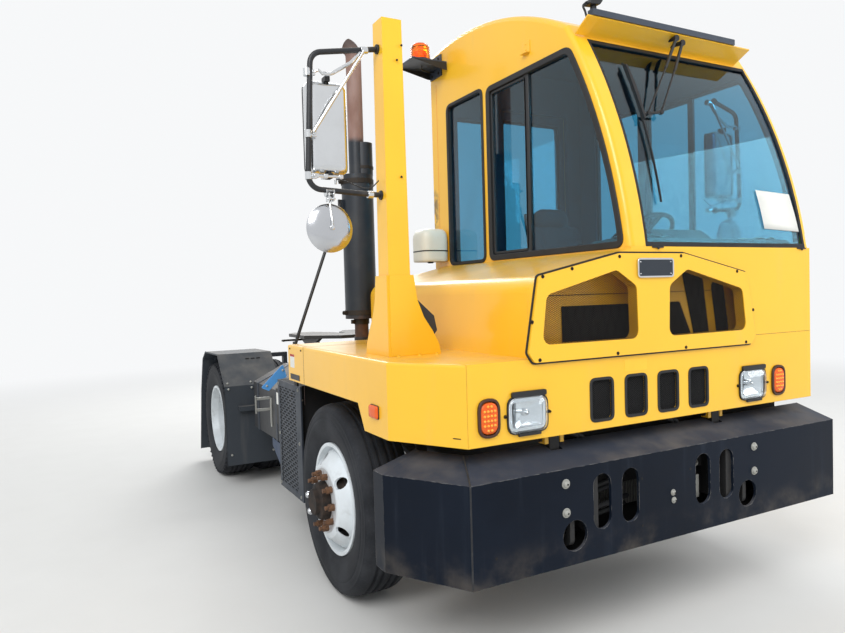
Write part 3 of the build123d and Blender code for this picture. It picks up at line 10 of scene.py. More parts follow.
import bmesh
import bpy
from mathutils import Matrix, Vector

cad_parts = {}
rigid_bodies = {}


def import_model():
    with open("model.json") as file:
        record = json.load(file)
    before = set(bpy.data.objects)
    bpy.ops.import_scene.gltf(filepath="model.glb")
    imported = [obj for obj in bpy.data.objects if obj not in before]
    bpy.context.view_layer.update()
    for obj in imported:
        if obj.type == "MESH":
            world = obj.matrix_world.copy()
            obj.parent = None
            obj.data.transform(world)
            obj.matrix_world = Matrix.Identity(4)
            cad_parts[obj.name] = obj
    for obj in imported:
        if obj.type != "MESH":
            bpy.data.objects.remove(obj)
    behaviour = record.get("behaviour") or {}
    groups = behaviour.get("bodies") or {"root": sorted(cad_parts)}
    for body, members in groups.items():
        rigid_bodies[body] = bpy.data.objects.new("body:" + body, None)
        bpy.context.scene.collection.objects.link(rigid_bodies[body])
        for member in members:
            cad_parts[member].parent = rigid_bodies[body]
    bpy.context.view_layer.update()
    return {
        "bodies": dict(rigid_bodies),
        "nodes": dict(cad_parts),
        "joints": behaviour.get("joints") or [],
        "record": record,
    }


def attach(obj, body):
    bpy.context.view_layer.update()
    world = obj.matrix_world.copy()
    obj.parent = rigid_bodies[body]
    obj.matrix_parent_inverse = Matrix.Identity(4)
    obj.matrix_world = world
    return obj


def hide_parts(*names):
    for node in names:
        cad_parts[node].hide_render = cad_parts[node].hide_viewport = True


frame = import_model()
nodes = frame["nodes"]
scene = bpy.context.scene
FRONT_AXLE = Vector((0.0, -1.25, 0.0))
SIDES = (("left", 1), ("right", -1))
LEFT, RIGHT, FRONT, BACK = (1, 0, 0), (-1, 0, 0), (0, -1, 0), (0, 1, 0)
UP, DOWN = (0, 0, 1), (0, 0, -1)


# Nodes: a value on a socket with the usual arithmetic, and the trees that it belongs to
class Value:
    """A node's output.  Arithmetic on it adds Math nodes to its tree."""

    def __init__(self, owner, socket):
        self.owner = owner
        self.socket = socket

    def __add__(self, other):
        return self.owner.maths("ADD", self, other)

    def __sub__(self, other):
        return self.owner.maths("SUBTRACT", self, other)

    def __mul__(self, other):
        return self.owner.maths("MULTIPLY", self, other)

    def __pow__(self, other):
        return self.owner.maths("POWER", self, other)

    def __radd__(self, other):
        return self.owner.maths("ADD", other, self)

    def __rmul__(self, other):
        return self.owner.maths("MULTIPLY", other, self)

    def __rsub__(self, other):
        return self.owner.maths("SUBTRACT", other, self)

    def most(self, other):
        return self.owner.maths("MAXIMUM", self, other)

    def clip(self):
        return self.owner.node("ShaderNodeMath", (self, 0.0), operation="ADD", use_clamp=True)


class Nodes:
    """A node tree in the making."""

    def __init__(self, tree):
        self.tree = tree

    def feed(self, socket, value):
        """Links or sets an input.  A list goes to an input that takes several links."""
        for item in value if isinstance(value, list) else [value]:
            if isinstance(item, Value):
                self.tree.links.new(item.socket, socket)
                continue
            opaque = isinstance(item, tuple) and len(item) == 3 and len(socket.default_value) == 4
            socket.default_value = (*item, 1.0) if opaque else item

    def node(self, kind, values=(), out=0, **settings):
        """Adds a node: its settings first, then its inputs by place or by name."""
        made = self.tree.nodes.new(kind)
        for key, value in settings.items():
            setattr(made, key, value)
        for key, value in values.items() if isinstance(values, dict) else enumerate(values):
            self.feed(made.inputs[key], value)
        return Value(self, made.outputs[out])

    def maths(self, operation, *values):
        return self.node("ShaderNodeMath", values, operation=operation)


class Finish(Nodes):
    """A material with one Principled shader, and the nodes that paint it."""

    def __init__(self, name, **sockets):
        self.material = bpy.data.materials.new(name)
        self.material.use_nodes = True
        super().__init__(self.material.node_tree)
        self.shader = self.tree.nodes["Principled BSDF"]
        self.place = None
        self.slot = None
        for key, value in sockets.items():
            self.set(key.replace("_", " "), value)

    def set(self, name, value):
        """Sets a socket of the shader, found by its name in any case."""
        self.feed(next(s for s in self.shader.inputs if s.name.lower() == name.lower()), value)

    def painted(self, name):
        """What already feeds a socket of the shader."""
        return Value(self, self.shader.inputs[name].links[0].from_socket)

    def blend(self, share, second):
        """Shows a second shader in place of the first, by its share."""
        values = (share, Value(self, self.shader.outputs[0]), second)
        both = self.node("ShaderNodeMixShader", values)
        self.feed(self.tree.nodes["Material Output"].inputs["Surface"], both)

    def at(self, stretch=(1.0, 1.0, 1.0)):
        """Object coordinates, stretched."""
        if self.place is None:
            self.place = self.node("ShaderNodeTexCoord", out=3)
        return self.node("ShaderNodeMapping", {"Vector": self.place, "Scale": stretch})

    def noise(self, scale, detail=3.0, stretch=(1.0, 1.0, 1.0)):
        values = {"Vector": self.at(stretch), "Scale": scale, "Detail": detail, "Roughness": 0.55}
        return self.node("ShaderNodeTexNoise", values)

    def band(self, value, low, high):
        """0 below low, 1 above high, smooth between them; low may be the larger."""
        values = {"Value": value, "From Min": low, "From Max": high}
        return self.node("ShaderNodeMapRange", values, interpolation_type="SMOOTHSTEP")

    def patches(self, scale, detail, low, high, **noise):
        """Cloudy patches: noise that is cut off softly between low and high."""
        return self.band(self.noise(scale, detail, **noise), low, high)

    def mix(self, share, first, second):
        values = {0: share, 6: first, 7: second}
        return self.node("ShaderNodeMix", values, out=2, data_type="RGBA")

    def height(self, axis=2):
        """One of the object coordinates, by its number."""
        return self.node("ShaderNodeSeparateXYZ", (self.at(),), out=axis)

    def facing(self):
        """How much the surface faces up."""
        normal = self.node("ShaderNodeNewGeometry", out=1)
        return self.node("ShaderNodeSeparateXYZ", (normal,), out=2)

    def round_edges(self, radius):
        """A normal that rounds sharp edges, and how near an edge is."""
        soft = self.node("ShaderNodeBevel", {"Radius": radius}, samples=4)
        sharp = self.node("ShaderNodeNewGeometry", out=1)
        same = self.node("ShaderNodeVectorMath", (soft, sharp), out=1, operation="DOT_PRODUCT")
        return soft, self.band(same, 0.995, 0.86)

    def bump(self, height, strength, normal=None):
        values = {"Strength": strength, "Distance": 0.001, "Height": height}
        if normal is not None:
            values["Normal"] = normal
        self.set("Normal", self.node("ShaderNodeBump", values))


def srgb(red, green, blue):
    """A linear colour from the 0 to 255 numbers that a picture shows."""

    def linear(value):
        value /= 255.0
        return value / 12.92 if value <= 0.04045 else ((value + 0.055) / 1.055) ** 2.4

    return tuple(linear(v) for v in (red, green, blue))


DUST = srgb(168, 160, 148)
RUST = srgb(112, 62, 34)


def paint(name, colour, worn, rough, dusty=0.25, edge=0.5, coat=0.0):
    """Enamel over steel: faded patches, dust on what faces up, fine scratches and worn edges."""
    f = Finish(name, coat_weight=coat, coat_roughness=0.12)
    fade = f.noise(1.7, 4.0)
    tone = f.mix(f.band(fade, 0.35, 0.7) * 0.5, colour, tuple(c * 0.9 for c in colour))
    speck = f.patches(140.0, 2.0, 0.62, 0.8)
    streak = f.patches(9.0, 5.0, 0.56, 0.8, stretch=(1.0, 1.0, 0.12))
    scratch = f.patches(60.0, 3.0, 0.7, 0.76, stretch=(0.08, 0.08, 1.6))
    lying = f.band(f.facing(), 0.35, 0.95)
    dust = (lying * f.patches(5.0, 5.0, 0.25, 0.8) + streak * 0.22 + speck * 0.2) * dusty
    tone = f.mix(dust.clip(), tone, DUST)
    soft, near = f.round_edges(0.004)
    chips = (near * f.patches(38.0, 4.0, 0.52, 0.66) * edge).clip()
    tone = f.mix((scratch * 0.35 * edge).clip(), tone, worn)
    f.set("base color", f.mix(chips, tone, worn))
    f.set("roughness", (rough + dust * 0.45 + f.noise(14.0) * 0.12 + chips * 0.2).clip())
    f.bump(f.noise(230.0, 2.0) + chips * -2.0, 0.06, soft)
    return f


def yellow_enamel(name):
    """The tractor's faded and chipped yellow."""
    colour, worn = srgb(243, 186, 34), srgb(150, 104, 44)
    return paint(name, colour, worn, 0.3, dusty=0.3, edge=0.16, coat=0.35)


def tyre_finish():
    f = Finish("tyre_rubber", specular_ior_level=0.3)
    dust = f.patches(6.0, 5.0, 0.3, 0.75) * 0.28 + f.patches(70.0, 3.0, 0.5, 0.8) * 0.15
    f.set("base color", f.mix(dust.clip(), srgb(19, 22, 28), srgb(78, 80, 84)))
    f.set("roughness", (0.72 + dust * 0.25).clip())
    f.bump(f.noise(160.0, 3.0), 0.25)
    return f


def glass_finish(name, colour, through):
    """Clear glass that lets light through to what stands behind it."""
    f = Finish(name, roughness=0.0, ior=1.45, transmission_weight=1.0)
    f.set("base color", colour)
    clear = f.node("ShaderNodeBsdfTransparent", (through,))
    f.blend(f.node("ShaderNodeLightPath", out="Is Shadow Ray"), clear)
    return f


def plain(name, colour, rough, metal=0.0, grain=0.1, scale=180.0):
    """A simple finish with a fine grain and a little change of colour and gloss."""
    spread = 0.12
    f = Finish(name, metallic=metal)
    patch = f.patches(7.0, 4.0, 0.3, 0.75)
    f.set("base color", f.mix(patch * spread * 2, colour, tuple(c * 0.72 for c in colour)))
    f.set("roughness", (rough + patch * spread).clip())
    f.bump(f.noise(scale, 2.0), grain)
    return f


# Enamels.  Name, colour, worn colour, roughness, dust, worn edges
PAINTS = (
    ("black_enamel", (26, 28, 32), (92, 94, 98), 0.38, 0.3, 0.6),
    ("chassis_black", (30, 30, 31), (78, 66, 56), 0.55, 0.55, 0.6),
    ("greased_steel", (38, 35, 32), (104, 98, 92), 0.35, 0.35, 0.8),
    ("wheel_white", (214, 216, 216), (112, 62, 34), 0.4, 0.35, 0.45),
    ("exhaust_steel", (44, 42, 42), (112, 62, 34), 0.5, 0.3, 0.9),
    ("fender_slate", (48, 54, 61), (96, 98, 100), 0.5, 0.35, 0.4),
)
# Plain finishes.  Name, colour, roughness, and where they differ, metal, grain and its scale
PLAINS = (
    ("cylinder_chrome", (196, 198, 202), 0.12, 1.0, 0.03), ("grille_black", (24, 24, 25), 0.5),
    ("floor_mat", (44, 45, 46), 0.85, 0.0, 0.4), ("lamp_clear", (222, 226, 228), 0.1, 0.0, 0.02),
    ("lamp_amber", (236, 120, 20), 0.18, 0.0, 0.05), ("dash_plastic", (92, 100, 98), 0.6, 0.0, 0.3),
    ("seat_cloth", (58, 61, 68), 0.9, 0.0, 0.6, 420.0),
    ("mirror_steel", (214, 216, 218), 0.14, 1.0, 0.04),
    # deep_black is painted shade in holes, sockets, slots, vents and behind the grille screens and
    # the bumper; on the dial faces it is their real black.
    ("tank_plastic", (224, 222, 208), 0.35, 0.0, 0.06), ("deep_black", (14, 14, 15), 0.8),
    ("seal_rubber", (30, 31, 33), 0.62, 0.0, 0.2, 260.0),
    ("black_plastic", (26, 27, 29), 0.42, 0.0, 0.15, 320.0),
    ("dark_bolt", (46, 40, 34), 0.55, 0.4, 0.2), ("plate_grey", (52, 58, 66), 0.35, 0.5, 0.05),
    ("lamp_frame_brown", (62, 34, 22), 0.4), ("amber_deep", (226, 92, 14), 0.2, 0.0, 0.05),
    ("amber_bright", (255, 168, 56), 0.15, 0.0, 0.03),
    ("lamp_reflector", (226, 230, 234), 0.1, 1.0, 0.04, 60.0),
    ("mirror_face", (206, 212, 216), 0.02, 1.0, 0.0),
    ("worn_zinc", (168, 168, 162), 0.45, 0.55, 0.25),
    ("blank_label", (226, 226, 220), 0.5, 0.0, 0.05), ("label_band", (176, 52, 40), 0.5, 0.0, 0.05),
    ("fresh_yellow", (244, 192, 50), 0.3, 0.0, 0.05), ("guard_grey", (46, 53, 63), 0.45, 0.2, 0.3),
    # Painted shade: the near-black of the guard box's inside. The light blue is a painted sky
    # reflection on the cover by the guard, and the real blue of the service coupling.
    ("guard_inside", (16, 17, 19), 0.8, 0.0, 0.2), ("cover_blue", (82, 150, 214), 0.4, 0.0, 0.2),
    # Painted sky reflection: the dark slate-blue of the sheet by the tank.
    ("cover_slate", (44, 62, 88), 0.45, 0.0, 0.2), ("lamp_red", (186, 26, 20), 0.15, 0.0, 0.03),
    ("wrap_film", (196, 208, 200), 0.2), ("light_bar_slate", (52, 60, 72), 0.4),
)
FINISHES = {"yellow_enamel": yellow_enamel("yellow_enamel"), "tyre_rubber": tyre_finish()}
for name, colour, worn, rough, dusty, edge in PAINTS:
    FINISHES[name] = paint(name, srgb(*colour), srgb(*worn), rough, dusty, edge)
for name, colour, *look in PLAINS:
    FINISHES[name] = plain(name, srgb(*colour), *look)
for name, colour, through in (
    ("tinted_glass", (122, 184, 206), (180, 210, 222)),
    ("lamp_glass", (240, 244, 246), (240, 244, 246)),
    ("amber_glass", (255, 132, 20), (255, 170, 70)),
):
    FINISHES[name] = glass_finish(name, srgb(*colour), srgb(*through))


def bumper_paint():
    """Black enamel with a painted blue sky sheen in its colour and a lighter painted sky reflection
    on faces that face up; rain streaks, bare edges, and dust on the flange.
    """
    f = Finish("bumper_enamel", specular_ior_level=0.1)
    fade = f.patches(2.2, 4.0, 0.3, 0.7)
    # Painted sheen: the near-black is tinted blue for the sky that it reflects.
    tone = f.mix(fade * 0.6, srgb(13, 20, 31), srgb(20, 28, 41))
    streak = f.patches(11.0, 6.0, 0.52, 0.76, stretch=(1.0, 1.0, 0.07))
    tone = f.mix((streak * 0.28).clip(), tone, srgb(60, 68, 80))
    up = f.band(f.facing(), 0.3, 0.8)
    dust = (up * (f.patches(4.0, 5.0, 0.4, 0.8) * 0.5 + 0.1)).clip()
    # Painted sky reflection: the mix towards lighter blue on faces that face up. The mix towards
    # brown is dust.
    tone = f.mix(dust, f.mix(up, tone, srgb(44, 52, 66)), srgb(112, 106, 100))
    soft, near = f.round_edges(0.004)
    bare = (near * f.patches(30.0, 4.0, 0.42, 0.6)).clip()
    tone = f.mix(bare * 0.75, tone, srgb(150, 148, 144))
    low = 1.0 - f.band(f.height(), 0.46, 0.62)
    splashed = (low * f.patches(7.0, 5.0, 0.4, 0.8) * 0.35).clip()
    f.set("base color", f.mix(splashed, tone, srgb(108, 100, 90)))
    f.set("roughness", (0.34 + dust * 0.4 + streak * 0.15 + fade * 0.1).clip())
    f.bump(f.noise(190.0, 2.0), 0.08, soft)
    return f


def stack_paint():
    """Exhaust: rusty below, black around the muffler and shield, scorched grey-brown above."""
    f = Finish("stack_finish")
    z = f.height()
    wander = f.noise(9.0, 4.0) * 0.12
    black = f.band(z + wander, 1.46, 1.56)
    top = f.band(z + wander * 0.3, 2.61, 2.66)
    rust = f.mix(f.patches(14.0, 5.0, 0.3, 0.7), srgb(96, 62, 42), srgb(58, 42, 34))
    cloud = f.patches(10.0, 5.0, 0.3, 0.7, stretch=(1.0, 1.0, 0.4))
    scorched = f.mix(cloud, srgb(146, 120, 112), srgb(124, 92, 80))
    tone = f.mix(top, f.mix(black, rust, srgb(20, 28, 37)), scorched)
    tone = f.mix(f.band(z, 3.1, 3.24) * 0.8, tone, srgb(34, 31, 30))
    brace = 1.0 - f.band(f.height(0), -0.815, -0.805)
    tone = f.mix(brace, tone, srgb(26, 27, 29))
    dust = f.patches(5.0, 4.0, 0.5, 0.85) * 0.06
    f.set("base color", f.mix(dust, tone, DUST))
    f.set("roughness", (0.42 + top * 0.25 + dust + (1.0 - black) * 0.3).clip())
    f.bump(f.noise(160.0, 3.0), 0.15)
    return f


def wheel_finish(name, axle_y, nuts_x, disc_x, drum_x):
    """White enamel wheel with rusty nuts, a dark hub and an iron drum behind the disc."""
    f = Finish(name)
    y = f.height(1) - axle_y
    z = f.height(2) - WHEEL_Z
    ring = (y * y + z * z) ** 0.5
    x = f.maths("ABSOLUTE", f.height(0))
    white = f.mix(f.patches(6.0, 4.0, 0.3, 0.75) * 0.5, srgb(216, 222, 226), srgb(176, 180, 180))
    cloud = f.patches(24.0, 5.0, 0.5, 0.7, stretch=(1.0, 1.0, 0.6))
    stain = f.band(ring, 0.2, 0.12) * cloud
    road = f.patches(11.0, 5.0, 0.55, 0.8) * 0.4
    tone = f.mix((stain * 0.7).clip(), white, RUST)
    tone = f.mix(road.clip(), tone, srgb(120, 112, 102))
    hub = f.band(ring, 0.1115, 0.1095)
    nut = f.band(x, nuts_x - 0.0008, nuts_x + 0.0008) * f.band(ring, 0.172, 0.17)
    drum = f.band(ring, 0.2125, 0.211) * f.band(x, drum_x + 0.001, drum_x - 0.001)
    hollow = f.band(ring, 0.1785, 0.1765) * f.band(x, disc_x + 0.001, disc_x - 0.001)
    iron = f.mix(f.patches(20.0, 4.0, 0.35, 0.7), srgb(30, 27, 26), srgb(54, 43, 36))
    rust = f.mix(f.patches(70.0, 4.0, 0.35, 0.7), srgb(112, 78, 52), srgb(72, 52, 40))
    tone = f.mix(hub, f.mix(drum.most(hollow).clip(), tone, iron), iron)
    f.set("base color", f.mix((nut * (1.0 - hub)).clip(), tone, rust))
    f.set("roughness", (0.42 + nut * 0.35 + hub * 0.25 + road * 0.4).clip())
    soft, _ = f.round_edges(0.003)
    f.bump(f.noise(150.0, 3.0) + nut * f.noise(260.0, 2.0) * 1.5, 0.12, soft)
    return f


def lined_enamel(name, inside, rear):
    """The cab's enamel outside, and its grey lining inside the pair inside and ahead of rear."""
    f = yellow_enamel(name)
    x, y, z = (f.height(axis) for axis in range(3))

    def circle_of(centre_y, centre_z):
        v, w = y - centre_y, z - centre_z
        return (v * v + w * w) ** 0.5

    centre_y, centre_z = SCREEN_CENTRE[0] + FRONT_AXLE.y, SCREEN_CENTRE[1]
    under = f.band(circle_of(ROOF_CENTRE[0], ROOF_CENTRE[1]), 2.0375, 2.0355)
    behind = f.band(circle_of(centre_y, centre_z), SCREEN_RADIUS - 0.018, SCREEN_RADIUS - 0.02)
    soft = 0.0005
    within = f.band(x, inside[0] - soft, inside[0] + soft)
    within = within * f.band(x, inside[1] + soft, inside[1] - soft)
    within = within * f.band(y, rear + soft, rear - soft) * f.band(y, -2.385, -2.38)
    lining = (under * behind * within * f.band(z, 1.14, 1.15)).clip()
    felt = f.mix(f.noise(60.0, 3.0) * 0.5, srgb(70, 78, 92), srgb(54, 61, 74))
    soot = f.band(y, -0.68, -0.615) * f.band(z, 2.0, 2.12) * f.band(z, 2.36, 2.24)
    soot = (soot * f.band(x, -0.1, -0.118) * f.patches(16.0, 4.0, 0.35, 0.6)).clip()
    enamel = f.mix(soot * 0.75, f.painted("Base Color"), srgb(52, 44, 36))
    f.set("base color", f.mix(lining, enamel, felt))
    f.set("roughness", (f.painted("Roughness") + lining * 0.5).clip())
    f.set("coat weight", (1.0 - lining) * 0.35)
    return f


def dash_finish():
    """Grey-green plastic, and black on the steering wheel and its column."""
    f = Finish("dash_and_wheel")
    wheel = f.band(f.height(1), -1.989, -1.988)
    cloud = f.patches(4.0, 4.0, 0.3, 0.7)
    pale = f.mix(cloud * 0.5, srgb(128, 140, 134), srgb(104, 116, 112))
    f.set("base color", f.mix(wheel, pale, srgb(30, 31, 34)))
    f.set("roughness", (0.62 - wheel * 0.2 + f.noise(30.0) * 0.1).clip())
    f.bump(f.noise(340.0, 2.0), 0.2)
    return f


# Curves of the cab, as they were solved from the photograph, and the wheels' height.  The
# screen's centre is given from the front axle, the roof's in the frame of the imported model
SCREEN_CENTRE, SCREEN_RADIUS = (1.741, 1.4), 2.9355
ROOF_CENTRE = (-0.923, 1.2015)
WHEEL_Z, WHEELBASE = 0.515, 2.946

FINISHES["bumper_enamel"] = bumper_paint()
FINISHES["stack_finish"] = stack_paint()
FINISHES["dash_and_wheel"] = dash_finish()
FINISHES["cab_enamel"] = lined_enamel("cab_enamel", (-0.0945, 1.1745), -0.5925)
FINISHES["door_enamel"] = lined_enamel("door_enamel", (0.425, 1.055), -0.5585)
for name, *places in (
    ("front_wheel_enamel", -1.25, 1.2137, 1.2005, 1.16),
    ("rear_wheel_enamel", 1.696, 0.9245, 0.911, 0.87),
):
    FINISHES[name] = wheel_finish(name, *places)

# The record's material slots, and the finish that each takes
SLOT_FINISH = {
    "yellow_paint": "yellow_enamel", "black_paint": "black_enamel", "frame_paint": "chassis_black",
    "greased_steel": "greased_steel", "cylinder_chrome": "cylinder_chrome",
    "white_wheel": "wheel_white", "tyre_rubber": "tyre_rubber", "grille_black": "grille_black",
    "cab_floor_mat": "floor_mat", "window_glass": "tinted_glass", "lamp_clear": "lamp_clear",
    "lamp_amber": "lamp_amber", "dash_plastic": "dash_plastic", "seat_cloth": "seat_cloth",
    "mirror_steel": "mirror_steel", "tank_plastic": "tank_plastic",
    "exhaust_steel": "exhaust_steel",
}
# CAD nodes that take another finish than their slot's
NODE_FINISH = {
    # The guard box is near-black all over: painted shade inside the box, seen through the
    # perforated sheet.
    "rear_fenders": "fender_slate", "guard_box": "guard_inside", "bumper": "bumper_enamel",
    "exhaust_stack": "stack_finish", "cab_right_side": "cab_enamel", "cab_left_side": "cab_enamel",
    "cab_rear_wall": "cab_enamel", "roof": "cab_enamel", "rear_door": "door_enamel",
    "dash": "dash_and_wheel", "roof_fittings": "light_bar_slate",
    "front_wheel_left": "front_wheel_enamel", "front_wheel_right": "front_wheel_enamel",
    "rear_wheels_left": "rear_wheel_enamel", "rear_wheels_right": "rear_wheel_enamel",
}
for slot_name, finish_name in SLOT_FINISH.items():
    FINISHES[finish_name].slot = slot_name
for part in frame["record"]["subparts"]:
    node = nodes[part["node"]]
    finish_name = NODE_FINISH.get(part["node"], SLOT_FINISH[part["material_slot"]])
    if not node.material_slots:
        node.data.materials.append(None)
    for slot in node.material_slots:
        slot.material = FINISHES[finish_name].material


# Shapes: a mesh in the making, with lengths given from the front axle
TO_SPACE = {
    "x": lambda u, v, w: (w, u, v), "y": lambda u, v, w: (u, w, v), "z": lambda u, v, w: (u, v, w),
}


def add_object(name, data):
    made = bpy.data.objects.new(name, data)
    scene.collection.objects.link(made)
    return made


def settle(made):
    """Turns an object with modifiers into its plain mesh."""
    graph = bpy.context.evaluated_depsgraph_get()
    mesh = bpy.data.meshes.new_from_object(made.evaluated_get(graph), depsgraph=graph)
    made.modifiers.clear()
    made.data = mesh
    return mesh


def circle(centre, side, third, radius, steps):
    """Points of a circle about the centre, in the plane of two unit vectors."""
    angles = [2 * math.pi * j / steps for j in range(steps)]
    return [centre + (side * math.cos(a) + third * math.sin(a)) * radius for a in angles]


class Shape:
    """Boxes, prisms, turned shapes, tubes and sheets, gathered in one mesh."""

    def __init__(self):
        self.bm = bmesh.new()
        self.paint = 0

    def add(self, points, faces):
        """Adds raw points and faces, painted with the current finish."""
        made = [self.bm.verts.new(p) for p in points]
        for face in faces:
            self.bm.faces.new([made[i] for i in face]).material_index = self.paint

    def box(self, x, y, z):
        """A box between the pairs x, y and z."""
        points = [(a, b, c) for a in sorted(x) for b in sorted(y) for c in sorted(z)]
        faces = ((0, 1, 3, 2), (4, 6, 7, 5), (0, 4, 5, 1), (2, 3, 7, 6), (0, 2, 6, 4), (1, 5, 7, 3))
        self.add(points, faces)

    def prism(self, flat, axis, span):
        """An outline in the two other axes, in their order, carried along an axis."""
        count = len(flat)
        points = [TO_SPACE[axis](u, v, w) for w in sorted(span) for u, v in flat]
        faces = [tuple(range(count))[::-1], tuple(range(count, 2 * count))]
        for i in range(count):
            k = (i + 1) % count
            faces.append((i, k, count + k, count + i))
        self.add(points, faces)

    def rings(self, rings, ends=True, around=True):
        """A skin over a row of rings that have the same number of points."""
        count = len(rings[0])
        faces = []
        for i in range(0, (len(rings) - 1) * count, count):
            for j in range(count if around else count - 1):
                k = (j + 1) % count
                faces.append((i + j, i + k, i + count + k, i + count + j))
        if ends:
            last = (len(rings) - 1) * count
            faces += [tuple(range(count))[::-1], tuple(range(last, last + count))]
        self.add([p for ring in rings for p in ring], faces)

    def lathe(self, section, centre, axis, steps=32, closed=False):
        """A section of (along, radius) turned about an axis through the centre."""
        axis = Vector(axis).normalized()
        side = axis.orthogonal().normalized()
        third = axis.cross(side)
        centre = Vector(centre)
        path = list(section) + ([section[0]] if closed else [])
        rings = [circle(centre + axis * along, side, third, r, steps) for along, r in path]
        self.rings(rings, ends=not closed)

    def pin(self, radius, low, high, centre, axis, sides):
        """A round bar from low to high along an axis through a centre."""
        self.lathe(((low, radius), (high, radius)), centre, axis, sides)

    def bar(self, start, end, radius, steps=12):
        """A round bar between two points."""
        way = Vector(end) - Vector(start)
        self.lathe(((0, radius), (way.length, radius)), start, way, steps)

    def tube(self, points, radius, bend=0.0, steps=10):
        """A bent tube of one radius whose corners are arcs of the bend radius."""
        path = bent(points, bend)
        rings = []
        normal = None
        for i, p in enumerate(path):
            ahead = (path[min(i + 1, len(path) - 1)] - path[max(i - 1, 0)]).normalized()
            if normal is None:
                normal = ahead.orthogonal().normalized()
            normal = (normal - ahead * normal.dot(ahead)).normalized()
            rings.append(circle(p, normal, ahead.cross(normal), radius, steps))
        self.rings(rings)

    def band(self, outline, width, axis, level, depth):
        """A flat frame that runs along a closed outline, set inwards by its width."""
        place, top = TO_SPACE[axis], level + depth
        rings = []
        for (u, v), (s, t) in zip(outline, inwards(outline, width)):
            rings.append(
                [place(u, v, level), place(s, t, level), place(s, t, top), place(u, v, top)]
            )
        self.rings(rings + rings[:1], ends=False)

    def mesh(self, name, shift):
        """The mesh that was gathered, moved by a shift, and the end of the gathering."""
        made = bpy.data.meshes.new(name)
        bmesh.ops.recalc_face_normals(self.bm, faces=self.bm.faces)
        bmesh.ops.translate(self.bm, verts=self.bm.verts, vec=shift)
        self.bm.to_mesh(made)
        self.bm.free()
        return made

    def put(self, name, body, finishes, round_by=0.0, smooth=35.0, replaces=()):
        """Makes the object, puts it in the model's frame and on its body."""
        bmesh.ops.remove_doubles(self.bm, verts=self.bm.verts, dist=1e-5)
        mesh = self.mesh(name, FRONT_AXLE)
        made = add_object(name, mesh)
        if round_by:
            edge = made.modifiers.new("rounded edges", "BEVEL")
            edge.width = round_by
            edge.segments = 2
            edge.limit_method = "ANGLE"
            edge.angle_limit = math.radians(38)
            edge.harden_normals = False
        finishes = (finishes,) if isinstance(finishes, str) else finishes
        dress(made, body, smooth, FINISHES[finishes[0]])
        for other in finishes[1:]:
            mesh.materials.append(FINISHES[other].material)
        if replaces:
            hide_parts(*replaces)
        return made


def dress(made, body, smooth, finish):
    """Shades a piece, gives it its finish and slot, and puts it on its body."""
    made.data.shade_smooth()
    made.data.set_sharp_from_angle(angle=math.radians(smooth))
    if not made.data.materials:
        made.data.materials.append(finish.material)
    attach(made, body)


def curve(start, corner, end, steps):
    """Points of a curve from start to end that leaves towards the corner."""
    ways = [i / steps for i in range(steps + 1)]
    return [start.lerp(corner, t).lerp(corner.lerp(end, t), t) for t in ways]


def corner_arc(before, corner, after, radius, steps):
    """An arc of a radius at a corner, shorter than half of its legs."""
    into, out = (corner - before).normalized(), (after - corner).normalized()
    legs = (corner - before).length * 0.48, (after - corner).length * 0.48
    reach = min(radius * math.tan(into.angle(out) / 2), *legs)
    return curve(corner - into * reach, corner, corner + out * reach, steps)


def bent(points, radius):
    """The points of a path whose inner corners are arcs."""
    points = [Vector(p) for p in points]
    if not radius:
        return points
    path = [points[0]]
    for before, corner, after in zip(points, points[1:], points[2:]):
        straight = (corner - before).normalized().angle((after - corner).normalized()) < 0.02
        path += [corner] if straight else corner_arc(before, corner, after, radius, 6)
    return path + [points[-1]]


def neighbours(points, i):
    """The point before, the point itself and the point after, of a closed flat outline."""
    return [Vector((*points[(i + k) % len(points)], 0)) for k in (-1, 0, 1)]


def rounded(points, radius):
    """A closed flat outline with its corners rounded."""
    arcs = [corner_arc(*neighbours(points, i), radius, 5) for i in range(len(points))]
    return [(p.x, p.y) for arc in arcs for p in arc]


def inwards(outline, distance):
    """A closed outline set inwards, or outwards for a negative distance."""
    area = sum(a[0] * b[1] - b[0] * a[1] for a, b in zip(outline, outline[1:] + outline[:1]))
    turn = 1 if area > 0 else -1
    result = []
    for i in range(len(outline)):
        before, here, after = neighbours(outline, i)
        into, out = here - before, after - here
        if into.length < 1e-9:
            into = out
        if out.length < 1e-9:
            out = into
        first = Vector((-into.y, into.x)).normalized() * turn
        second = Vector((-out.y, out.x)).normalized() * turn
        middle = (first + second).normalized()
        move = distance / max(middle.dot(first), 0.5)
        result.append((here.x + middle.x * move, here.y + middle.y * move))
    return result


def rectangle(low, high):
    """The corners of a flat rectangle between two opposite ones."""
    return [low, (high[0], low[1]), high, (low[0], high[1])]


def box_outline(u, v, wide, tall, corner):
    """A rounded rectangle about (u, v)."""
    a, b = wide / 2, tall / 2
    return rounded(rectangle((u - a, v - b), (u + a, v + b)), corner)


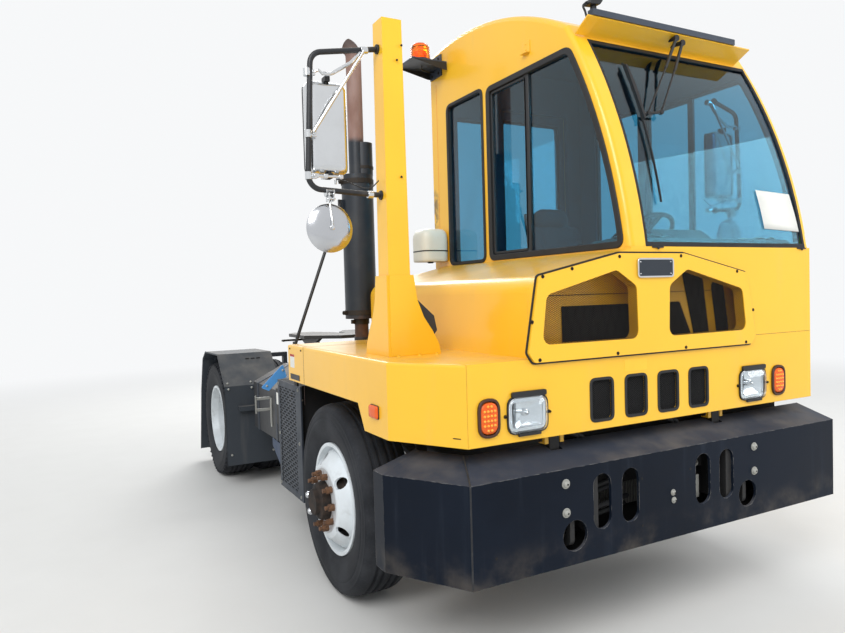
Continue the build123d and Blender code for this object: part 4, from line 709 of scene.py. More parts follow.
# Geometry Nodes: the trees that repeat a shape on points
class Tree(Nodes):
    """A Geometry Nodes tree in the making, with named inputs."""

    def __init__(self, name, **inputs):
        super().__init__(bpy.data.node_groups.new(name, "GeometryNodeTree"))
        face = self.tree.interface
        face.new_socket("Geometry", in_out="INPUT", socket_type="NodeSocketGeometry")
        face.new_socket("Geometry", in_out="OUTPUT", socket_type="NodeSocketGeometry")
        for key, value in inputs.items():
            kind = "NodeSocketVector" if isinstance(value, tuple) else "NodeSocketFloat"
            face.new_socket(key, in_out="INPUT", socket_type=kind).default_value = value
        face.new_socket("Finish", in_out="INPUT", socket_type="NodeSocketMaterial")
        self.source = self.tree.nodes.new("NodeGroupInput")

    def input(self, name):
        return Value(self, self.source.outputs[name])

    def vector(self, **places):
        return self.node("ShaderNodeCombineXYZ", places)

    def cylinder(self, sides, radius, depth, lift=None):
        """A cylinder about the origin, or lifted along Z."""
        values = {"Vertices": sides, "Radius": radius, "Depth": depth}
        made = self.node("GeometryNodeMeshCylinder", values)
        if lift is None:
            return made
        return self.node(
            "GeometryNodeTransform", {"Geometry": made, "Translation": self.vector(Z=lift)}
        )

    def finish(self, shape):
        """Ends the tree: the shape on each point, with Z along the point's outward way."""
        way = self.node("GeometryNodeInputNamedAttribute", ("outward",), data_type="FLOAT_VECTOR")
        spin = self.node("GeometryNodeInputNamedAttribute", ("spin",), data_type="FLOAT")
        turn = self.node("FunctionNodeAlignRotationToVector", {"Vector": way}, axis="Z")
        values = {"Points": self.input("Geometry"), "Instance": shape, "Rotation": turn}
        placed = self.node("GeometryNodeInstanceOnPoints", values)
        values = {"Instances": placed, "Rotation": self.vector(Z=spin)}
        real = self.node(
            "GeometryNodeRealizeInstances", (self.node("GeometryNodeRotateInstances", values),)
        )
        values = {"Geometry": real, "Material": self.input("Finish")}
        painted = self.node("GeometryNodeSetMaterial", values)
        shown = self.node(
            "GeometryNodeSetShadeSmooth", {"Geometry": painted, "Shade Smooth": False}
        )
        self.feed(self.tree.nodes.new("NodeGroupOutput").inputs[0], shown)
        return self.tree


def grow(name, tree, points, body, finish_name, outward, spin=None, **values):
    """Runs a tree on loose points and keeps the result as one plain mesh on a body."""
    finish = FINISHES[finish_name]
    base = bpy.data.meshes.new(name + "_points")
    base.from_pydata([Vector(p) + FRONT_AXLE for p in points], [], [])
    ways = base.attributes.new("outward", "FLOAT_VECTOR", "POINT")
    for i, way in enumerate(outward if isinstance(outward, list) else [outward] * len(points)):
        ways.data[i].vector = way
    if spin is not None:
        turns = base.attributes.new("spin", "FLOAT", "POINT")
        for i, turn in enumerate(spin):
            turns.data[i].value = turn
    made = add_object(name, base)
    growth = made.modifiers.new("growth", "NODES")
    growth.node_group = tree
    values["Finish"] = finish.material
    for item in tree.interface.items_tree:
        if item.in_out == "INPUT" and item.name in values:
            growth[item.identifier] = values[item.name]
    settle(made).name = name
    dress(made, body, 32, finish)


def bolt_tree():
    """A hexagon head on a washer, with the stud's end proud of it."""
    t = Tree("bolt heads", Radius=0.008, Height=0.006, Washer=0.011, Stud=0.0)
    radius, height = t.input("Radius"), t.input("Height")
    reach = height + t.input("Stud")
    head = t.cylinder(6, radius, height, height * 0.5)
    washer = t.cylinder(16, t.input("Washer"), 0.003)
    stud = t.cylinder(10, radius * 0.55, reach, reach * 0.5)
    return t.finish(t.node("GeometryNodeJoinGeometry", ([head, washer, stud],)))


def wire_tree():
    """One diamond of expanded metal on each point."""
    t = Tree("expanded metal", Wide=0.012, Tall=0.009, Strand=0.0011)
    wide, tall = t.input("Wide") * 0.5, t.input("Tall") * 0.5
    corners = (t.vector(X=wide * -1.0), t.vector(Y=tall), t.vector(X=wide), t.vector(Y=tall * -1.0))
    values = {f"Point {i + 1}": corner for i, corner in enumerate(corners)}
    ring = t.node("GeometryNodeCurvePrimitiveQuadrilateral", values, mode="POINTS")
    values = {"Resolution": 3, "Radius": t.input("Strand")}
    strand = t.node("GeometryNodeCurvePrimitiveCircle", values)
    return t.finish(t.node("GeometryNodeCurveToMesh", {"Curve": ring, "Profile Curve": strand}))


def block_tree():
    """A plain block on each point, as wide, long and tall as the inputs say."""
    t = Tree("blocks", Size=(0.01, 0.01, 0.01))
    return t.finish(t.node("GeometryNodeMeshCube", {"Size": t.input("Size")}))


def dot_tree():
    """A small dome on each point."""
    t = Tree("dots", Radius=0.004)
    values = {"Radius": t.input("Radius"), "Subdivisions": 2}
    return t.finish(t.node("GeometryNodeMeshIcoSphere", values))


def perforated_tree():
    """A sheet's cell with a round-ended slot through it, on each point."""
    t = Tree("perforated sheet", Wide=0.02, Long=0.08, Slit=0.01, Slot=0.05, Thick=0.002)
    quad = "GeometryNodeCurvePrimitiveQuadrilateral"
    cell = t.node(quad, {"Width": t.input("Wide"), "Height": t.input("Long")})
    slit = t.input("Slit")
    slot = t.node(quad, {"Width": slit, "Height": t.input("Slot")})
    values = {"Curve": slot, "Count": 2, "Radius": slit * 0.49, "Limit Radius": True}
    slot = t.node("GeometryNodeFilletCurve", values, mode="POLY")
    both = t.node("GeometryNodeJoinGeometry", ([cell, slot],))
    flat = t.node("GeometryNodeFillCurve", {"Curve": both}, mode="TRIANGLES")
    values = {"Mesh": flat, "Offset Scale": t.input("Thick"), "Individual": False}
    return t.finish(t.node("GeometryNodeExtrudeMesh", values))


BOLTS, WIRES, BLOCKS, DOTS = bolt_tree(), wire_tree(), block_tree(), dot_tree()


def set_bolts(name, points, body, finish, outward, radius, height, washer, stud=0.0):
    sizes = {"Radius": radius, "Height": height, "Washer": washer, "Stud": stud}
    grow(name, BOLTS, points, body, finish, outward, **sizes)


def set_blocks(name, points, body, finish, outward, size, spin=None):
    grow(name, BLOCKS, points, body, finish, outward, spin, Size=size)


def set_dots(name, points, body, finish, outward, radius):
    grow(name, DOTS, points, body, finish, outward, Radius=radius)


def inside(point, outline):
    """True where a flat point lies within a closed outline."""
    u, v = point
    within = False
    for (a, b), (c, d) in zip(outline, outline[1:] + outline[:1]):
        if (b > v) != (d > v) and u < (c - a) * (v - b) / (d - b) + a:
            within = not within
    return within


def screen_points(outline, wide, tall, margin=0.0):
    """Places of the mesh's diamonds inside an outline, row by row."""
    edge = inwards(outline, margin)
    us, vs = zip(*edge)
    places = []
    row, v = 0, min(vs)
    while v < max(vs):
        u = min(us) + (wide / 2 if row % 2 else 0)
        while u < max(us):
            if inside((u, v), edge):
                places.append((u, v))
            u += wide
        v += tall / 2
        row += 1
    return places


def screen_y(z, depth=0.0):
    """Length of the windscreen's curve at a height, or of the same curve a depth inwards."""
    up = z - SCREEN_CENTRE[1]
    return SCREEN_CENTRE[0] - math.sqrt((SCREEN_RADIUS - depth) ** 2 - up**2)


# Front: the grilles
BODY_Y = -1.168
PANEL_Y = -1.186
PAN_Y = -1.041
SKIN_X = -1.208
OPENING = [(-0.648, 1.381), (-0.621, 1.59), (-0.225, 1.692), (-0.105, 1.618), (-0.098, 1.379)]
PANEL = [
    (-0.72, 1.35), (-0.69, 1.308), (0.69, 1.308), (0.72, 1.35), (0.66, 1.67), (0.205, 1.767),
    (-0.205, 1.767), (-0.66, 1.67),
]
# Screens in the pan's back wall
RADIATOR_SCREEN = [(-0.425, 1.325), (0.43, 1.325), (0.33, 1.535), (-0.425, 1.535)]
SLANTED_SCREEN = [(0.44, 1.33), (0.548, 1.33), (0.5, 1.66), (0.345, 1.7)]
NARROW_SCREEN = [(0.606, 1.34), (0.7, 1.34), (0.655, 1.626), (0.56, 1.636)]
LOWER_GRILLES = (-0.3106, -0.1035, 0.1035, 0.3106)
LOWER_GRILLE = (1.1175, 0.126, 0.183, 0.025)


def grilles():
    screens = [
        (RADIATOR_SCREEN, PAN_Y), (rounded(SLANTED_SCREEN, 0.03), PAN_Y),
        (rounded(NARROW_SCREEN, 0.035), PAN_Y),
    ]
    z, wide, tall, corner = LOWER_GRILLE
    for x in LOWER_GRILLES:
        screens.append((box_outline(x, z, wide - 0.001, tall - 0.001, corner), BODY_Y + 0.016))
    # Near-black sheets behind the screens: painted shade in the hollows behind the mesh.
    shade_sheets = Shape()
    places = []
    for outline, y in screens:
        shade_sheets.prism(outline, "y", (y - 0.0015, y - 0.0002))
        places += [(u, y - 0.004, v) for u, v in screen_points(outline, 0.0135, 0.0095, 0.004)]
    shade_sheets.put("grille_shade_sheets", "cab", "deep_black", replaces=("grille_mesh",))
    grow(
        "grille_screens", WIRES, places, "cab", "grille_black", FRONT, Wide=0.0135, Tall=0.0095,
        Strand=0.0012,
    )
    guards = []
    for side in (-1, 1):
        outline = rounded([(side * u, v) for u, v in OPENING], 0.038)
        guards += [(u, PANEL_Y + 0.004, v) for u, v in screen_points(outline, 0.017, 0.0085, 0.0)]
    grow(
        "opening_screens", WIRES, guards, "cab", "grille_black", FRONT, Wide=0.017, Tall=0.0085,
        Strand=0.001,
    )
    frames = Shape()
    for x in LOWER_GRILLES:
        frames.band(
            box_outline(x, z, wide + 0.016, tall + 0.016, corner + 0.008), 0.013, "y",
            BODY_Y - 0.0035, 0.012,
        )
    frames.put("grille_seals", "cab", "seal_rubber", round_by=0.0015)
    # A seam across the pan, and a dark band round the raised panel: painted shade in the gap about
    # the panel, drawn as a rubber strip.
    edge = Shape()
    edge.box((-0.62, 0.62), (PAN_Y - 0.0012, PAN_Y), (1.5835, 1.5865))
    edge.band(inwards(rounded(PANEL, 0.02), -0.008), 0.014, "y", BODY_Y - 0.006, 0.0055)
    edge.put("grille_seam_and_gap_shade", "cab", "seal_rubber")
    clips = [
        (-0.208, 1.752), (0.182, 1.755), (0.58, 1.678), (-0.482, 1.7), (-0.64, 1.668),
        (-0.664, 1.319),
    ]
    clips += [(-0.228, 1.319), (0.207, 1.319), (0.642, 1.319), (-0.7, 1.48), (0.7, 1.48)]
    points = [(u, PANEL_Y, v) for u, v in clips]
    set_bolts("grille_panel_bolts", points, "cab", "dark_bolt", FRONT, 0.005, 0.004, 0.008)


def badge_plate():
    """A bare plate where the badge sits."""
    plate = Shape()
    plate.prism(
        box_outline(0.01, 1.7, 0.222, 0.082, 0.014), "y", (PANEL_Y - 0.007, PANEL_Y - 0.0005)
    )
    plate.paint = 1
    plate.band(box_outline(0.01, 1.7, 0.23, 0.09, 0.018), 0.008, "y", PANEL_Y - 0.01, 0.0095)
    plate.put("badge_plate", "cab", ("plate_grey", "mirror_steel"), round_by=0.0015)
    rivets = [
        (0.01 + a * 0.096, PANEL_Y - 0.006, 1.7 + b * 0.027)
        for a in (-1, 1) for b in (-1, 1)
    ]
    set_dots("badge_rivets", rivets, "cab", "mirror_steel", FRONT, 0.004)


# Lamps.  Front, place across, height, width, tall, corner
HEADLAMP = (0.716, 1.106, 0.172, 0.165, 0.04)
HEADLAMP_LENS = (1.0965, 0.198, 0.148)
TURN_LAMP = (0.916, 1.1, 0.096, 0.151, 0.046)


def shell_rings(u, v, wide, tall, corner, levels):
    """Rounded rectangles about (u, v), one for each (y, share of the size)."""
    return [
        [(a, y, b) for a, b in box_outline(u, v, wide * share, tall * share, corner * share)]
        for y, share in levels
    ]


def headlamps():
    """Sealed lamps: a bowl in the body's hole, and a wider lens and bezel in front of it."""
    x, z, wide, tall, corner = HEADLAMP
    lens_z, lens_wide, lens_tall = HEADLAMP_LENS
    for name, side in SIDES:
        u = side * x
        v = u - 0.006
        bowl = Shape()
        levels = [
            (-1.168, 0.93), (-1.16, 0.86), (-1.15, 0.72), (-1.142, 0.5), (-1.138, 0.28),
            (-1.137, 0.1),
        ]
        bowl.rings(
            shell_rings(
                u, z, wide, tall, corner, levels + [(-1.128, 0.12), (-1.13, 0.96), (-1.166, 0.975)]
            ),
            ends=False,
        )
        bowl.rings(shell_rings(u, z, wide, tall, corner, [(-1.1375, 0.12), (-1.129, 0.12)]))
        bowl.band(box_outline(v, lens_z, lens_wide, lens_tall, corner), 0.02, "y", -1.171, 0.003)
        bowl.put(f"headlamp_bowl_{name}", "cab", "lamp_reflector", smooth=50)
        bulb = Shape()
        bulb.lathe(
            ((0.0, 0.016), (0.01, 0.016), (0.012, 0.008), (0.026, 0.008), (0.031, 0.004)),
            (u, -1.1365, lens_z + 0.004), FRONT, 16,
        )
        bulb.put(f"headlamp_bulb_{name}", "cab", "mirror_steel")
        lens = Shape()
        outer = [
            (-1.1735, 0.985), (-1.176, 0.985), (-1.184, 0.95), (-1.19, 0.84), (-1.193, 0.62),
            (-1.1945, 0.34), (-1.195, 0.1),
        ]
        inner = [
            (-1.191, 0.1), (-1.19, 0.4), (-1.186, 0.8), (-1.18, 0.9), (-1.176, 0.93),
            (-1.1735, 0.93),
        ]
        rings = shell_rings(v, lens_z, lens_wide, lens_tall, corner, outer)
        caps = shell_rings(v, lens_z, lens_wide, lens_tall, corner, inner)
        lens.rings(rings, ends=False)
        lens.rings(caps, ends=False)
        lens.rings([caps[-1], rings[0]], ends=False)
        lens.add(rings[-1], [tuple(range(len(rings[-1])))])
        lens.add(caps[0], [tuple(range(len(caps[0])))])
        lens.put(
            f"headlamp_lens_{name}", "cab", "lamp_glass", smooth=60,
            replaces=("headlamps",) if side < 0 else (),
        )
        bezel = Shape()
        bezel.band(
            box_outline(v, lens_z, lens_wide + 0.011, lens_tall + 0.011, corner + 0.004), 0.006,
            "y", -1.1765, 0.015,
        )
        bezel.prism(box_outline(u, z + 0.0765, 0.178, 0.024, 0.01), "y", (-1.181, -1.169))
        bezel.prism(box_outline(u, z - 0.0925, 0.115, 0.012, 0.004), "y", (-1.18, -1.169))
        bezel.put(f"headlamp_bezel_{name}", "cab", "black_plastic", round_by=0.0015)
        screws = [(v + a * (lens_wide / 2 + 0.013), BODY_Y, lens_z) for a in (-1, 1)]
        set_bolts(
            f"headlamp_adjusters_{name}", screws, "cab", "dark_bolt", FRONT, 0.006, 0.012, 0.008
        )


def turn_lamps():
    x, z, wide, tall, corner = TURN_LAMP
    frame = Shape()
    lens = Shape()
    places = []
    for _, side in SIDES:
        u = side * x
        frame.band(
            box_outline(u, z, wide + 0.01, tall + 0.01, corner + 0.004), 0.012, "y", BODY_Y - 0.011,
            0.022,
        )
        levels = [(-1.15, 0.86), (-1.174, 0.86), (-1.178, 0.82), (-1.18, 0.7)]
        lens.rings(shell_rings(u, z, wide, tall, corner, levels))
        for row in range(6):
            for column in range(4):
                if row in (0, 5) and column in (0, 3):
                    continue
                places.append((u + (column - 1.5) * 0.0165, -1.1795, z + (row - 2.5) * 0.0195))
    frame.put("turn_lamp_frames", "cab", "lamp_frame_brown", round_by=0.003)
    lens.put("turn_lamp_lenses", "cab", "amber_deep", smooth=50, replaces=("amber_lamps",))
    set_dots("turn_lamp_dots", places, "cab", "amber_bright", FRONT, 0.0062)
    markers = Shape()
    base = Shape()
    levels = [(0.003, 0.0, 0.0), (0.01, 0.0, 0.0), (0.014, 0.006, 0.006), (0.0155, 0.024, 0.022)]
    for skin, out in ((SKIN_X, -1), (1.2, 1)):
        markers.rings(
            [
                [
                    (skin + out * away, a, b)
                    for a, b in box_outline(-0.697, 1.092, 0.086 - less, 0.056 - lower, 0.01)
                ]
                for away, less, lower in levels
            ]
        )
        base.prism(box_outline(-0.697, 1.092, 0.092, 0.062, 0.012), "x", (skin, skin + out * 0.004))
    markers.put("side_markers", "cab", "amber_deep", smooth=50)
    base.put("side_marker_bases", "cab", "black_plastic", round_by=0.001)


def beacon():
    x, y, z = -0.262, 0.54, 3.126
    dome = [(0.024, 0.06), (0.029, 0.064)]
    for i in range(6):
        low = 0.032 + i * 0.013
        dome += [
            (low, 0.063 - i * 0.0006), (low + 0.0065, 0.066 - i * 0.0006),
            (low + 0.013, 0.063 - i * 0.0006),
        ]
    dome += [(0.12, 0.055), (0.129, 0.043), (0.134, 0.024), (0.135, 0.006)]
    lens = Shape()
    lens.lathe(dome, (x, y, z), UP, 40)
    lens.put("beacon_lens", "cab", "amber_glass", smooth=20)
    core = Shape()
    core.lathe(((0.025, 0.034), (0.08, 0.032), (0.098, 0.016), (0.104, 0.005)), (x, y, z), UP, 20)
    core.put("beacon_flasher", "cab", "amber_bright")
    base = Shape()
    base.lathe(((0.0, 0.065), (0.004, 0.069), (0.022, 0.069), (0.027, 0.065)), (x, y, z), UP, 40)
    base.put("beacon_base", "cab", "black_plastic")


# Cab glazing: rubber seals, dividers and the wiper
LONG_REAR_Y, LONG_Z, LONG_INSET = -0.03, (1.81, 2.82), 0.052
SHORT_WINDOW = (0.24, 2.32, 0.42, 1.04, 0.045)


def long_window():
    """Outline of the long side window, in lengths and heights."""
    low, high = LONG_Z
    steps, reach = 14, 0.04
    front = [low + (high - low) * i / steps for i in range(steps + 1)]
    points = [(screen_y(z, LONG_INSET), z) for z in front]
    points += [(LONG_REAR_Y, high), (LONG_REAR_Y, low)]
    result = []
    for i, point in enumerate(points):
        if 0 < i < steps:
            result.append(point)
            continue
        before, here, after = neighbours(points, i)
        into, out = (here - before).normalized(), (after - here).normalized()
        arc = curve(here - into * reach, here, here + out * reach, 6)
        result += [(p.x, p.y) for p in arc]
    return result


def cab_seals():
    seals = Shape()
    frames = Shape()
    skins = ((-0.12, -1), (1.2, 1))
    long_outline = long_window()
    short_outline = box_outline(*SHORT_WINDOW)
    for skin, out in skins:
        for outline, grown, width in ((long_outline, 0.014, 0.034), (short_outline, 0.01, 0.022)):
            ring = inwards(outline, -grown)
            low, high = sorted((skin - out * 0.03, skin + out * 0.007))
            seals.band(ring, width, "x", low, high - low)
    seals.put("side_window_seals", "cab", "seal_rubber", round_by=0.004)
    for skin, out in skins:
        low, high = sorted((skin - out * 0.028, skin - out * 0.004))
        frames.box((low, high), (-0.425, -0.385), (LONG_Z[0] + 0.004, LONG_Z[1] - 0.004))
        pane = rounded(rectangle((-0.404, 1.832), (-0.052, 2.798)), 0.03)
        frames.band(pane, 0.016, "x", low, high - low)
    frames.put("side_window_dividers", "cab", "black_plastic", round_by=0.003)
    screen = Shape()
    left, right, wide, tall = -0.025, 1.16, 0.016, 0.022
    levels = [(z, screen_y(z)) for z in (1.8 + 1.072 * i / 12 for i in range(13))]
    for x0, x1 in ((left, left + wide), (right - wide, right)):
        screen.rings(
            [
                [(x0, y + 0.01, z), (x1, y + 0.01, z), (x1, y - 0.001, z), (x0, y - 0.001, z)]
                for z, y in levels
            ]
        )
    for z in (1.8, 2.85):
        top, low, high = z + tall, screen_y(z), screen_y(z + tall)
        section = [(low - 0.002, z), (low + 0.012, z), (high + 0.012, top), (high - 0.002, top)]
        screen.rings([[(x, *place) for place in section] for x in (left, right)])
    screen.put("windscreen_seal", "cab", "seal_rubber", round_by=0.002)
    rear = Shape()
    rear.band(box_outline(0.74, 2.28, 0.54, 1.18, 0.05), 0.026, "y", 0.6815, 0.03)
    rear.put("rear_door_seal", "rear_door", "seal_rubber", round_by=0.003)
    back = Shape()
    back.band(box_outline(0.22, 2.315, 0.34, 1.03, 0.03), 0.022, "y", 0.63, 0.036)
    back.put("rear_window_seal", "cab", "seal_rubber", round_by=0.003)


def on_screen(x, z, out=0.0):
    """A point on the windscreen, or a distance out from it."""
    return Vector((x, screen_y(z, -out), z))


def wiper():
    """The pantograph wiper: two arms from shafts under the visor, their link and the blade."""
    arms = Shape()
    link = (Vector((0.17, -1.01, 2.467)), Vector((0.262, -1.008, 2.48)))
    for pivot, foot in zip((Vector((0.504, -0.885, 2.921)), Vector((0.55, -0.885, 2.903))), link):
        arms.bar(pivot + Vector((0, -0.012, 0)), pivot + Vector((0, 0.085, 0.01)), 0.011, 16)
        arms.bar(pivot + Vector((0, -0.018, 0)), pivot + Vector((0, -0.006, 0)), 0.016, 16)
        middle = pivot.lerp(foot, 0.42) + Vector((0, -0.01, 0))
        arms.tube([pivot + Vector((0, -0.01, 0)), middle], 0.0085, steps=4)
        arms.tube([middle, foot], 0.005)
        arms.bar(foot + Vector((0, -0.008, 0)), foot + Vector((0, 0.01, 0)), 0.01, 12)
    arms.tube([link[0] + Vector((-0.042, 0.006, -0.006)), link[0], link[1]], 0.0062, 0.01)
    arms.put("wiper_arms", "cab", "black_plastic")
    top, foot = (0.14, 2.751), (0.11, 2.013)
    for name, low, high, wide, deep in (
        ("wiper_blade", 0.0, 1.0, 0.007, 0.013), ("wiper_carrier", 0.02, 0.43, 0.022, 0.026),
    ):
        blade = Shape()
        rings = []
        for i in range(13):
            t = low + (high - low) * i / 12
            x, z = top[0] + (foot[0] - top[0]) * t, top[1] + (foot[1] - top[1]) * t
            taper = 0.45 + 0.55 * math.sin(math.pi * min(max(i / 12, 0.06), 0.94))
            across = Vector((wide * taper / 2, 0, 0))
            near = on_screen(x, z, 0.001 if low == 0 else 0.012)
            far = on_screen(x, z, deep)
            rings.append([near - across * 0.6, near + across * 0.6, far + across, far - across])
        blade.rings(rings)
        blade.put(name, "cab", "seal_rubber", smooth=25)


# Wheels: tyres with their tread, and the covers on two nuts
NUT_CIRCLE = 0.14288
TYRES = (
    ("front_tyre_left", "front_wheel_left", (1.046,), 0.0),
    ("front_tyre_right", "front_wheel_right", (-1.046,), 0.0),
    ("rear_tyres_left", "rear_wheels_left", (0.745, 1.08), WHEELBASE),
    ("rear_tyres_right", "rear_wheels_right", (-0.745, -1.08), WHEELBASE),
)


def tyre_section():
    """Half of a tyre's section from the bead to the middle of the tread: (along, radius)."""
    side = [
        (0.1045, 0.289), (0.1048, 0.3012), (0.112, 0.306), (0.1185, 0.316), (0.122, 0.33),
        (0.128, 0.35),
    ]
    side += [
        (0.1335, 0.372), (0.1375, 0.395), (0.1395, 0.416), (0.1392, 0.432), (0.1378, 0.4345),
        (0.1388, 0.437),
    ]
    side += [(0.1372, 0.455), (0.1335, 0.47), (0.1345, 0.4725), (0.1325, 0.475), (0.1275, 0.489)]
    tread = [(0.12, 0.4985), (0.104, 0.5065), (0.086, 0.5105)]
    for inner, outer in ((0.06, 0.07), (0.02, 0.03)):
        depth = 0.011
        top = 0.512 + (0.07 - outer) * 0.03
        tread += [
            (outer + 0.006, top), (outer + 0.001, top - depth), (inner - 0.001, top - depth),
            (inner - 0.006, top),
        ]
    return side + tread + [(0.0, 0.5145)]


def tyres():
    half = tyre_section()
    section = half + [(-a, r) for a, r in half[-2::-1]]
    for node, body, places, y in TYRES:
        rubber = Shape()
        lugs, ways = [], []
        for x in places:
            rubber.lathe(section, (x, y, WHEEL_Z), LEFT, 96, closed=True)
            for i in range(56):
                a = 2 * math.pi * i / 56
                for along, lift, shift in ((0.1205, 0.4945, 0.0), (-0.1205, 0.4945, 0.5)):
                    turn = a + shift * 2 * math.pi / 56
                    lugs.append(
                        (x + along, y + math.cos(turn) * lift, WHEEL_Z + math.sin(turn) * lift)
                    )
                    ways.append((math.copysign(0.42, along), math.cos(turn), math.sin(turn)))
        rubber.put(node + "_rubber", body, "tyre_rubber", smooth=38, replaces=(node,))
        if node.startswith("rear"):
            set_blocks(node + "_lugs", lugs, body, "tyre_rubber", ways, (0.034, 0.024, 0.014))


def nut_covers():
    covers = Shape()
    for angle in (0.0, 36.0):
        a = math.radians(angle)
        place = (-1.2145, NUT_CIRCLE * math.cos(a), WHEEL_Z - NUT_CIRCLE * math.sin(a))
        cap = (
            (0.0, 0.0225), (0.006, 0.0225), (0.008, 0.02), (0.046, 0.019), (0.056, 0.013),
            (0.059, 0.004),
        )
        covers.lathe(cap, place, RIGHT, 20)
    covers.put("nut_covers", "front_wheel_right", "cylinder_chrome")


# Mirrors on both sides
ARM_Y, LOW_ARM_Z, ROUND_MIRROR_X = -0.5635, 2.075, 1.339


def mirrors():
    for name, side in SIDES:
        shell = Shape()
        x, z, wide, tall = side * 1.324, 2.3725, 0.19, 0.413
        levels = [
            (-0.5505, 0.25), (-0.549, 0.55), (-0.545, 0.78), (-0.537, 0.92), (-0.526, 0.985),
            (-0.512, 1.0),
        ]
        levels += [(-0.478, 1.0), (-0.47, 0.985)]
        rings = []
        for y, share in levels:
            outline = box_outline(x, z, wide * share, tall - wide * (1 - share), 0.03)
            rings.append([(u, y, v) for u, v in outline])
        shell.rings(rings)
        shell.put(
            f"mirror_shell_{name}", "cab", "mirror_steel", smooth=50,
            replaces=("mirror_heads",) if side < 0 else (),
        )
        glass = Shape()
        glass.prism(box_outline(x, z, 0.176, 0.398, 0.026), "y", (-0.4695, -0.466))
        glass.put(f"mirror_glass_{name}", "cab", "mirror_face", round_by=0.001)
        rim = Shape()
        rim.band(box_outline(x, z, 0.191, 0.414, 0.032), 0.008, "y", -0.478, 0.014)
        rim.put(f"mirror_rim_{name}", "cab", "seal_rubber", round_by=0.002)
        ears = Shape()
        for v in (2.5895, 2.1555):
            ears.box((x - 0.012, x + 0.012), (-0.548, -0.5), (v - 0.012, v + 0.012))
            ears.pin(0.006, -0.016, 0.016, (x, -0.53, v), UP, 12)
        ears.put(f"mirror_ears_{name}", "cab", "black_plastic", round_by=0.002)
        round_mirror(name, side)


def round_mirror(name, side):
    """The convex mirror: a chrome bowl towards the front and its glass towards the rear."""
    x, z, r = side * ROUND_MIRROR_X, 1.917, 0.11
    bowl = Shape()
    section = [
        (-0.022, 0.003), (-0.0215, 0.03), (-0.018, 0.06), (-0.01, 0.088), (0.0, 0.104), (0.006, r),
        (0.01, r),
    ]
    bowl.lathe(section + [(0.012, 0.106), (0.012, 0.004)], (x, ARM_Y, z), BACK, 48)
    bowl.put(f"round_mirror_bowl_{name}", "cab", "cylinder_chrome", smooth=40)
    face = Shape()
    face.lathe(
        [(0.012, 0.104), (0.016, 0.09), (0.02, 0.055), (0.0215, 0.003)], (x, ARM_Y, z), BACK, 48
    )
    face.put(f"round_mirror_glass_{name}", "cab", "mirror_face", smooth=60)
    stem = Shape()
    top = (x, ARM_Y, 2.062)
    stem.tube(
        [top, (x, ARM_Y - 0.012, 1.985), (x, ARM_Y - 0.026, 1.95), (x, ARM_Y - 0.028, z)], 0.0055,
        0.03,
    )
    stem.lathe(
        ((0.0, 0.012), (0.006, 0.012), (0.008, 0.009), (0.014, 0.008)), (x, ARM_Y - 0.02, z), FRONT,
        6,
    )
    stem.pin(0.019, -0.02, 0.02, (x, ARM_Y, LOW_ARM_Z), LEFT, 20)
    stem.put(f"round_mirror_stem_{name}", "cab", "mirror_steel")


# Bumper: its bolts, small holes and what shows behind the slots; the holes, the bolts' sockets and
# a board behind the bumper are painted shade
BUMPER_Y = -1.253


